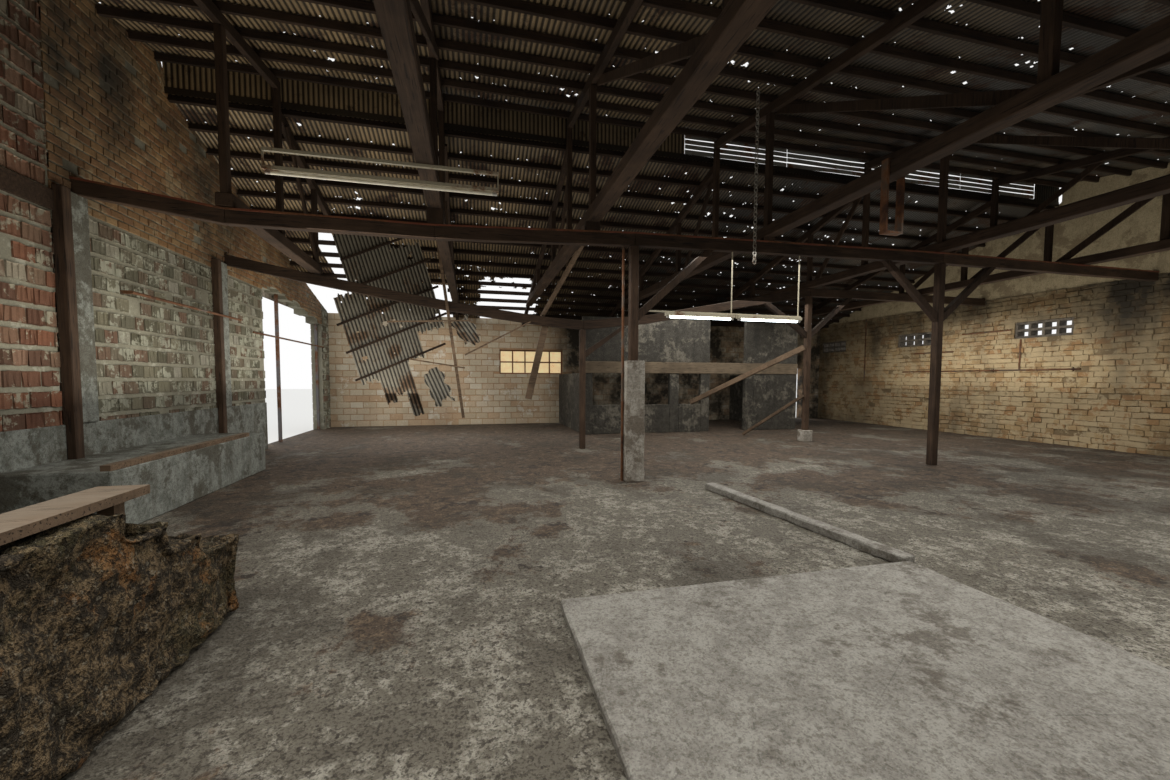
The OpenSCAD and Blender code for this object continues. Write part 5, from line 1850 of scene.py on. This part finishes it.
@dataclass
class HangingRoof:
    """The part of the roof that hangs down, as torn sheets nailed to battens."""

    lean: float = 16.0
    place: Point = (-7.27, 4.1, 1.49)
    length: float = 3.75
    strips: Sequence[tuple[int, int, float, float]] = (
        (0, 5, 0.0, -0.52), (5, 3, 0.15, -0.86), (8, 3, 0.115, -0.86), (11, 3, 0.267, -0.86),
        (14, 5, -0.067, -0.86), (19, 8, -0.208, -0.72))
    seed: int = 90

    def turn(self, lean: float, place: Sequence[float]) -> Matrix:
        """How a sheet that is drawn flat comes to hang, leaning to the right at its foot.

        Args:
            lean: the lean in degrees.
            place: where the sheet's own origin comes to lie.

        Returns:
            The matrix.
        """
        return (Matrix.Translation(Vector(place) + Vector((0, 0, HALL.floor)))
                @ Matrix.Rotation(math.radians(-lean), 4, "Y")
                @ Matrix.Rotation(math.radians(-90), 4, "X"))

    def hang(self, obj: bpy.types.Object, lean: float, place: Sequence[float],
             curl: float) -> bpy.types.Object:
        """Bends, thickens and hangs a flat sheet.

        Args:
            obj: the sheet.
            lean: its lean in degrees.
            place: where its own origin comes to lie.
            curl: how far its ends curl.

        Returns:
            The sheet.
        """
        co = points(obj)
        low, high = co.min(0), co.max(0)
        share = (co - low) / (high - low + 1e-6)
        co[:, 2] += curl * (np.sin(share[:, 1] * 5) * 0.5 + share[:, 0] ** 2 * share[:, 1])
        move_points(obj, co)
        SHEET_SIZE.thicken(obj)
        obj.matrix_world = self.turn(lean, place)
        settle(obj)
        return obj

    def panel(self, rng: np.random.Generator) -> list[bpy.types.Object]:
        """The large panel, laid from sheets that lap by one corrugation.

        Args:
            rng: the source of its rust holes and misfit.

        Returns:
            The sheets.
        """
        s = SHEET_SIZE
        starts = np.array([v[0] for v in self.strips])
        foot = np.array([v[2] for v in self.strips]) * self.length
        head = np.array([v[3] for v in self.strips]) * self.length
        pits = np.stack([rng.uniform(0, 27 * s.pitch, 40), rng.uniform(-3, 0.8, 40),
                         0.012 + 0.05 * rng.random(40) ** 3], 1)

        def lost(at: np.ndarray) -> np.ndarray:
            """Which faces lie past the torn ends or in a rust hole.

            Args:
                at: the faces' centres.

            Returns:
                One truth value for each face.
            """
            which = np.clip(np.searchsorted(starts, at[:, 0] / s.pitch, "right") - 1, 0, 5)
            rough = 0.03 * np.sin(at[:, 0] * 37) + 0.02 * np.sin(at[:, 0] * 91 + at[:, 1] * 9)
            gone = (at[:, 1] > foot[which] + rough) | (at[:, 1] < head[which] + rough)
            away = np.hypot(at[:, :1] - pits[:, 0], at[:, 1:2] - pits[:, 1])
            return gone | (away < pits[:, 2]).any(1)

        parts = []
        for i, (first, waves) in enumerate(((0, 11), (10, 9), (18, 9))):
            obj = s.grid("panel", first * s.pitch, waves,
                         np.arange(head.min(), foot.max() + 0.04, 0.035))
            s.tear(obj, lost)
            co = points(obj)
            co[:, 2] += 0.003 * i + 0.004
            co[:, :2] += rng.normal(0, 0.0015, (len(co), 2))
            move_points(obj, co)
            parts.append(self.hang(obj, self.lean, self.place, 0.03))
        return parts

    def scrap(self, low: Sequence[float], lean: float, length: float,
              rng: np.random.Generator) -> bpy.types.Object:
        """A small torn sheet with a bitten edge.

        Args:
            low: where its own origin comes to hang.
            lean: its lean in degrees.
            length: its length.
            rng: the source of its bites.

        Returns:
            The sheet.
        """
        s, waves = SHEET_SIZE, 6
        obj = s.grid("scrap", 0, waves, np.arange(0, length, 0.03))
        phase = rng.uniform(0, 6, 3)

        def lost(at: np.ndarray) -> np.ndarray:
            """Which faces lie past the bitten edges.

            Args:
                at: the faces' centres.

            Returns:
                One truth value for each face.
            """
            edge = 0.07 * np.sin(at[:, 0] * 16 + phase[0]) + 0.03 * np.sin(at[:, 0] * 47 + phase[1])
            side = 0.04 * np.sin(at[:, 1] * 21 + phase[2])
            return ((at[:, 1] > length - 0.09 + edge) | (at[:, 1] < 0.06 + edge * 0.5)
                    | (at[:, 0] > waves * s.pitch - 0.04 + side) | (at[:, 0] < 0.03 - side * 0.5))

        s.tear(obj, lost)
        return self.hang(obj, lean, low, 0.05)

    def build(self) -> None:
        """Hangs the panel and the two scraps."""
        rng = np.random.default_rng(self.seed)
        parts = self.panel(rng)
        parts.append(self.scrap((HALL.truss_x[1] - 0.6, 3.339, 1.757), 22, 0.8625, rng))
        parts.append(self.scrap((HALL.truss_x[1], 3.525, 2.813), 34, 0.7125, rng))
        obj = join("hanging_roof", parts)
        smooth(obj)
        present(obj, HUNG, ("hanging_sheets",))


@dataclass
class Timbers:
    """Beams, posts, trusses and purlins, each a copy with worn edges and small bows."""

    seed: int = 80

    def weather(self, node: str, finish: Finish, axis: int, step: float, edge: float,
                bow: float, chip: float = 0.12) -> None:
        """Replaces a node by a copy with chamfered edges and a slightly uneven run.

        Args:
            node: the node's name.
            finish: its finish.
            axis: the axis along which it is divided.
            step: distance from one division to the next.
            edge: width of the chamfer.
            bow: how far the timber strays.
            chip: share of the chamfer by which its points stray.
        """
        obj = copy_node(node, node.replace("_", "-"))
        low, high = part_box(node)
        divide(obj, axis, np.arange(low[axis] + step, high[axis] - step / 2, step))
        finish_modifier(obj, "BEVEL", width=edge, segments=1, limit_method="ANGLE",
                        angle_limit=math.radians(40))
        co, label = points(obj), islands(obj)
        rng = np.random.default_rng(self.seed + len(node))
        phase = rng.uniform(0, 6.28, (3, 4, label.max() + 1))[:, :, label]
        for i in {0, 1, 2} - {axis}:
            wave = sum(np.sin(co[:, axis] * f + phase[i, k])
                       for k, f in enumerate((1.1, 2.3, 4.1, 7.7)))
            co[:, i] += wave / 4 * bow
        co += rng.normal(0, edge * chip, co.shape)
        set_tint(obj, rng.uniform(size=(label.max() + 1, 3))[label])
        np.clip(co, np.array(low), np.array(high), out=co)
        move_points(obj, co)
        present(obj, finish, (node,))

    def build(self) -> None:
        """Weathers every node of timber, concrete and plaster with straight edges."""
        for node, finish, axis, step, edge, bow in (
                ("front_beam", BEAM, 0, 0.45, 0.008, 0.004),
                ("rear_beam", BEAM, 0, 0.45, 0.008, 0.004),
                ("tie_beams", TIE, 1, 0.6, 0.010, 0.004),
                ("posts", POST, 2, 0.4, 0.008, 0.003),
                ("knee_braces", BRACE, 2, 0.4, 0.006, 0.002),
                ("front_rafters", RAFTER, 1, 0.9, 0.006, 0.003),
                ("rear_rafters", RAFTER, 1, 0.9, 0.006, 0.003),
                ("truss_posts", BRACE, 2, 0.5, 0.006, 0.002),
                ("truss_braces", BRACE, 2, 0.5, 0.005, 0.002),
                ("front_purlins", PURLIN, 0, 1.1, 0.004, 0.003),
                ("rear_purlins", PURLIN, 0, 1.1, 0.004, 0.003),
                ("hanging_battens", PURLIN, 0, 0.3, 0.003, 0.001),
                ("fallen_timbers", PALE, 0, 0.25, 0.004, 0.002),
                ("store_lintel", LINTEL, 0, 0.3, 0.008, 0.002),
                ("opening_frame", FRAME_STEEL, 2, 0.4, 0.004, 0.0),
                ("vent_slabs", VENT, 1, 0.1, 0.004, 0.0),
                ("vent_fins", VENT, 2, 0.1, 0.003, 0.0),
                ("window_frame", SASH, 0, 0.2, 0.002, 0.0)):
            self.weather(node, finish, axis, step, edge, bow)
        for node, finish, axis in (("raised_slab", SLAB, 1), ("post_casings", CASING, 2),
                                   ("low_bench", CEMENT, 1), ("store_piers", PLASTER, 2),
                                   ("store_walls", PLASTER, 2), ("front_lintel", CEMENT, 0)):
            self.weather(node, finish, axis, 0.11, 0.012, 0.0, 0.3)


@dataclass
class Fittings:
    """Lights, pipes, strap, chain, window and what else is fixed to the building."""

    lights: Sequence[tuple[float, float, float, float]] = (
        (-6.99, -1.355, 3.741, 2.4), (-1.895, 0.0, 2.611, 1.22), (-0.615, 0.0, 2.611, 1.22))
    hook: Point = (-0.65, -0.5, 3.39)
    link: float = 0.06
    tube_radius: float = 0.018
    round_sides: int = 16

    def tube(self, x: float, y: float, z: float, length: float) -> bpy.types.Object:
        """A glass tube that is drawn in at its ends.

        Args:
            x: its left end.
            y: its place along the hall.
            z: its height.
            length: its length.

        Returns:
            The tube.
        """
        obj = rod("tube", (x + 0.045, y, z), (x + length - 0.045, y, z), self.tube_radius,
                  self.round_sides)
        inset(obj, abs(face_places(obj)[1][:, 0]) > 0.9, 0.004, 0.003)
        return obj

    def holder(self, x: float, y: float, z: float) -> bpy.types.Object:
        """The cap of a tube with its holder.

        Args:
            x: its middle.
            y: its place along the hall.
            z: the height of the tube's middle.

        Returns:
            The holder.
        """
        block = box("holder", (x - 0.012, y - 0.016, z - 0.014), (x + 0.012, y + 0.016, z + 0.04))
        finish_modifier(block, "BEVEL", width=0.004, segments=2)
        cap = rod("cap", (x - 0.027, y, z), (x + 0.027, y, z), self.tube_radius + 0.0005,
                  self.round_sides)
        return join("holder", [block, cap])

    def lamps(self) -> None:
        """The three tubes with caps, and their trays with folded edges."""
        tubes, ends = [], []
        for x, y, z, length in self.lights:
            z += HALL.floor
            tubes.append(self.tube(x + 0.02, y, z, length - 0.04))
            ends += [self.holder(x + 0.042, y, z), self.holder(x + length - 0.042, y, z)]
        present(join("dead_tube", tubes[:1]), DEAD, ("light_tubes",))
        present(join("lit_tubes", tubes[1:]), LIT, ("light_tubes",))
        present(join("tube_holders", ends), HOLDER)
        obj = copy_node("strip_lights", "strip-lights")
        areas = np.array([f.area for f in obj.data.polygons])
        inset(obj, (face_places(obj)[1][:, 2] < -0.9) & (areas > 0.05), 0.008, -0.006)
        finish_modifier(obj, "BEVEL", width=0.002, segments=2, limit_method="ANGLE")
        present(obj, TRAY, ("strip_lights",))

    def chain(self) -> None:
        """The hoist chain, two links and their repeats up to the roof."""
        x, y, z = self.hook
        links = []
        for i in range(2):
            deselect()
            bpy.ops.mesh.primitive_torus_add(major_radius=0.026, minor_radius=0.0075,
                                             major_segments=12, minor_segments=6)
            link = bpy.context.object
            link.rotation_euler = (math.pi / 2, 0, math.pi / 2 * i)
            link.location = (x, y, z + 0.047 + HALL.floor + i * self.link)
            link.scale = (1, 1.5, 1)
            settle(link)
            links.append(link)
        obj = join("hoist_chain", links)
        pair = 2 * self.link
        top = float(HALL.roof(np.array(y))) - pair
        repeat(obj, int((top - z - 0.02) / pair), (0, 0, pair))
        present(obj, CHAIN)

    def strap(self) -> None:
        """The rusty edge along the top of the front beam."""
        h = HALL
        obj = box("beam_strap", (-h.half_w, -0.0625, 0.168), (h.half_w, -0.0605, 0.199))
        knots = [*h.truss_x, h.left_x, h.right_x]
        divide(obj, 0, sorted(knots + list(np.arange(-9.2, 9.4, 0.37))))
        co = points(obj)
        co[:, 2] += [h.front_z(x) + h.floor for x in co[:, 0]]
        lower = co[:, 2] - [h.front_z(x) for x in co[:, 0]] < h.floor + 0.18
        co[:, 2] += np.where(lower, np.random.default_rng(3).uniform(0, 0.012, len(co)), 0)
        move_points(obj, co)
        present(obj, STRAP)

    def clips(self) -> None:
        """Saddles that hold the wall pipes."""
        parts, x = [], HALL.half_w
        for z, span in ((1.9, (1.3, 5.8)), (3.0, (2.8, 4.0)), (2.5, (4.3, 5.3))):
            for y in np.arange(*span, 0.9):
                at = HALL.floor + z
                near, far = y - 0.014, y + 0.014
                parts += [rod("clip", (x - 0.021, near, at), (x - 0.021, far, at), 0.0245),
                          box("foot", (x - 0.004, near, at - 0.05), (x - 0.001, far, at + 0.05))]
        present(join("pipe_clips", parts), PIPE)

    def build(self) -> None:
        """Builds the fittings and dresses what is left as packed."""
        self.lamps()
        self.chain()
        self.strap()
        self.clips()
        band = keep_parts(copy_node("dado_and_pilasters", "string_course"),
                          lambda at: at[0, 2] > 3.0)
        present(band, BEAM, ("dado_and_pilasters",))
        rest = keep_parts(copy_node("dado_and_pilasters", "dado_render"),
                          lambda at: at[0, 2] < 3.0)
        finish_modifier(rest, "BEVEL", width=0.006, segments=2, limit_method="ANGLE")
        present(rest, CEMENT, ("dado_and_pilasters",))
        for node, finish in (("beam_hanger", PIPE), ("wall_pipes", PIPE),
                             ("window_glass", GLASS), ("floor_slab", FLOOR)):
            dress(node, finish)


def main() -> None:
    """Builds the view and every sub-assembly in order."""
    logging.basicConfig(level=logging.INFO, format="%(message)s")
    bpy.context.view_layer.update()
    View().set_up()
    Walls().build()
    BrokenWall().build()
    Roof().build()
    Ridge().build()
    HangingRoof().build()
    Timbers().build()
    Fittings().build()


if __name__ == "__main__":
    main()
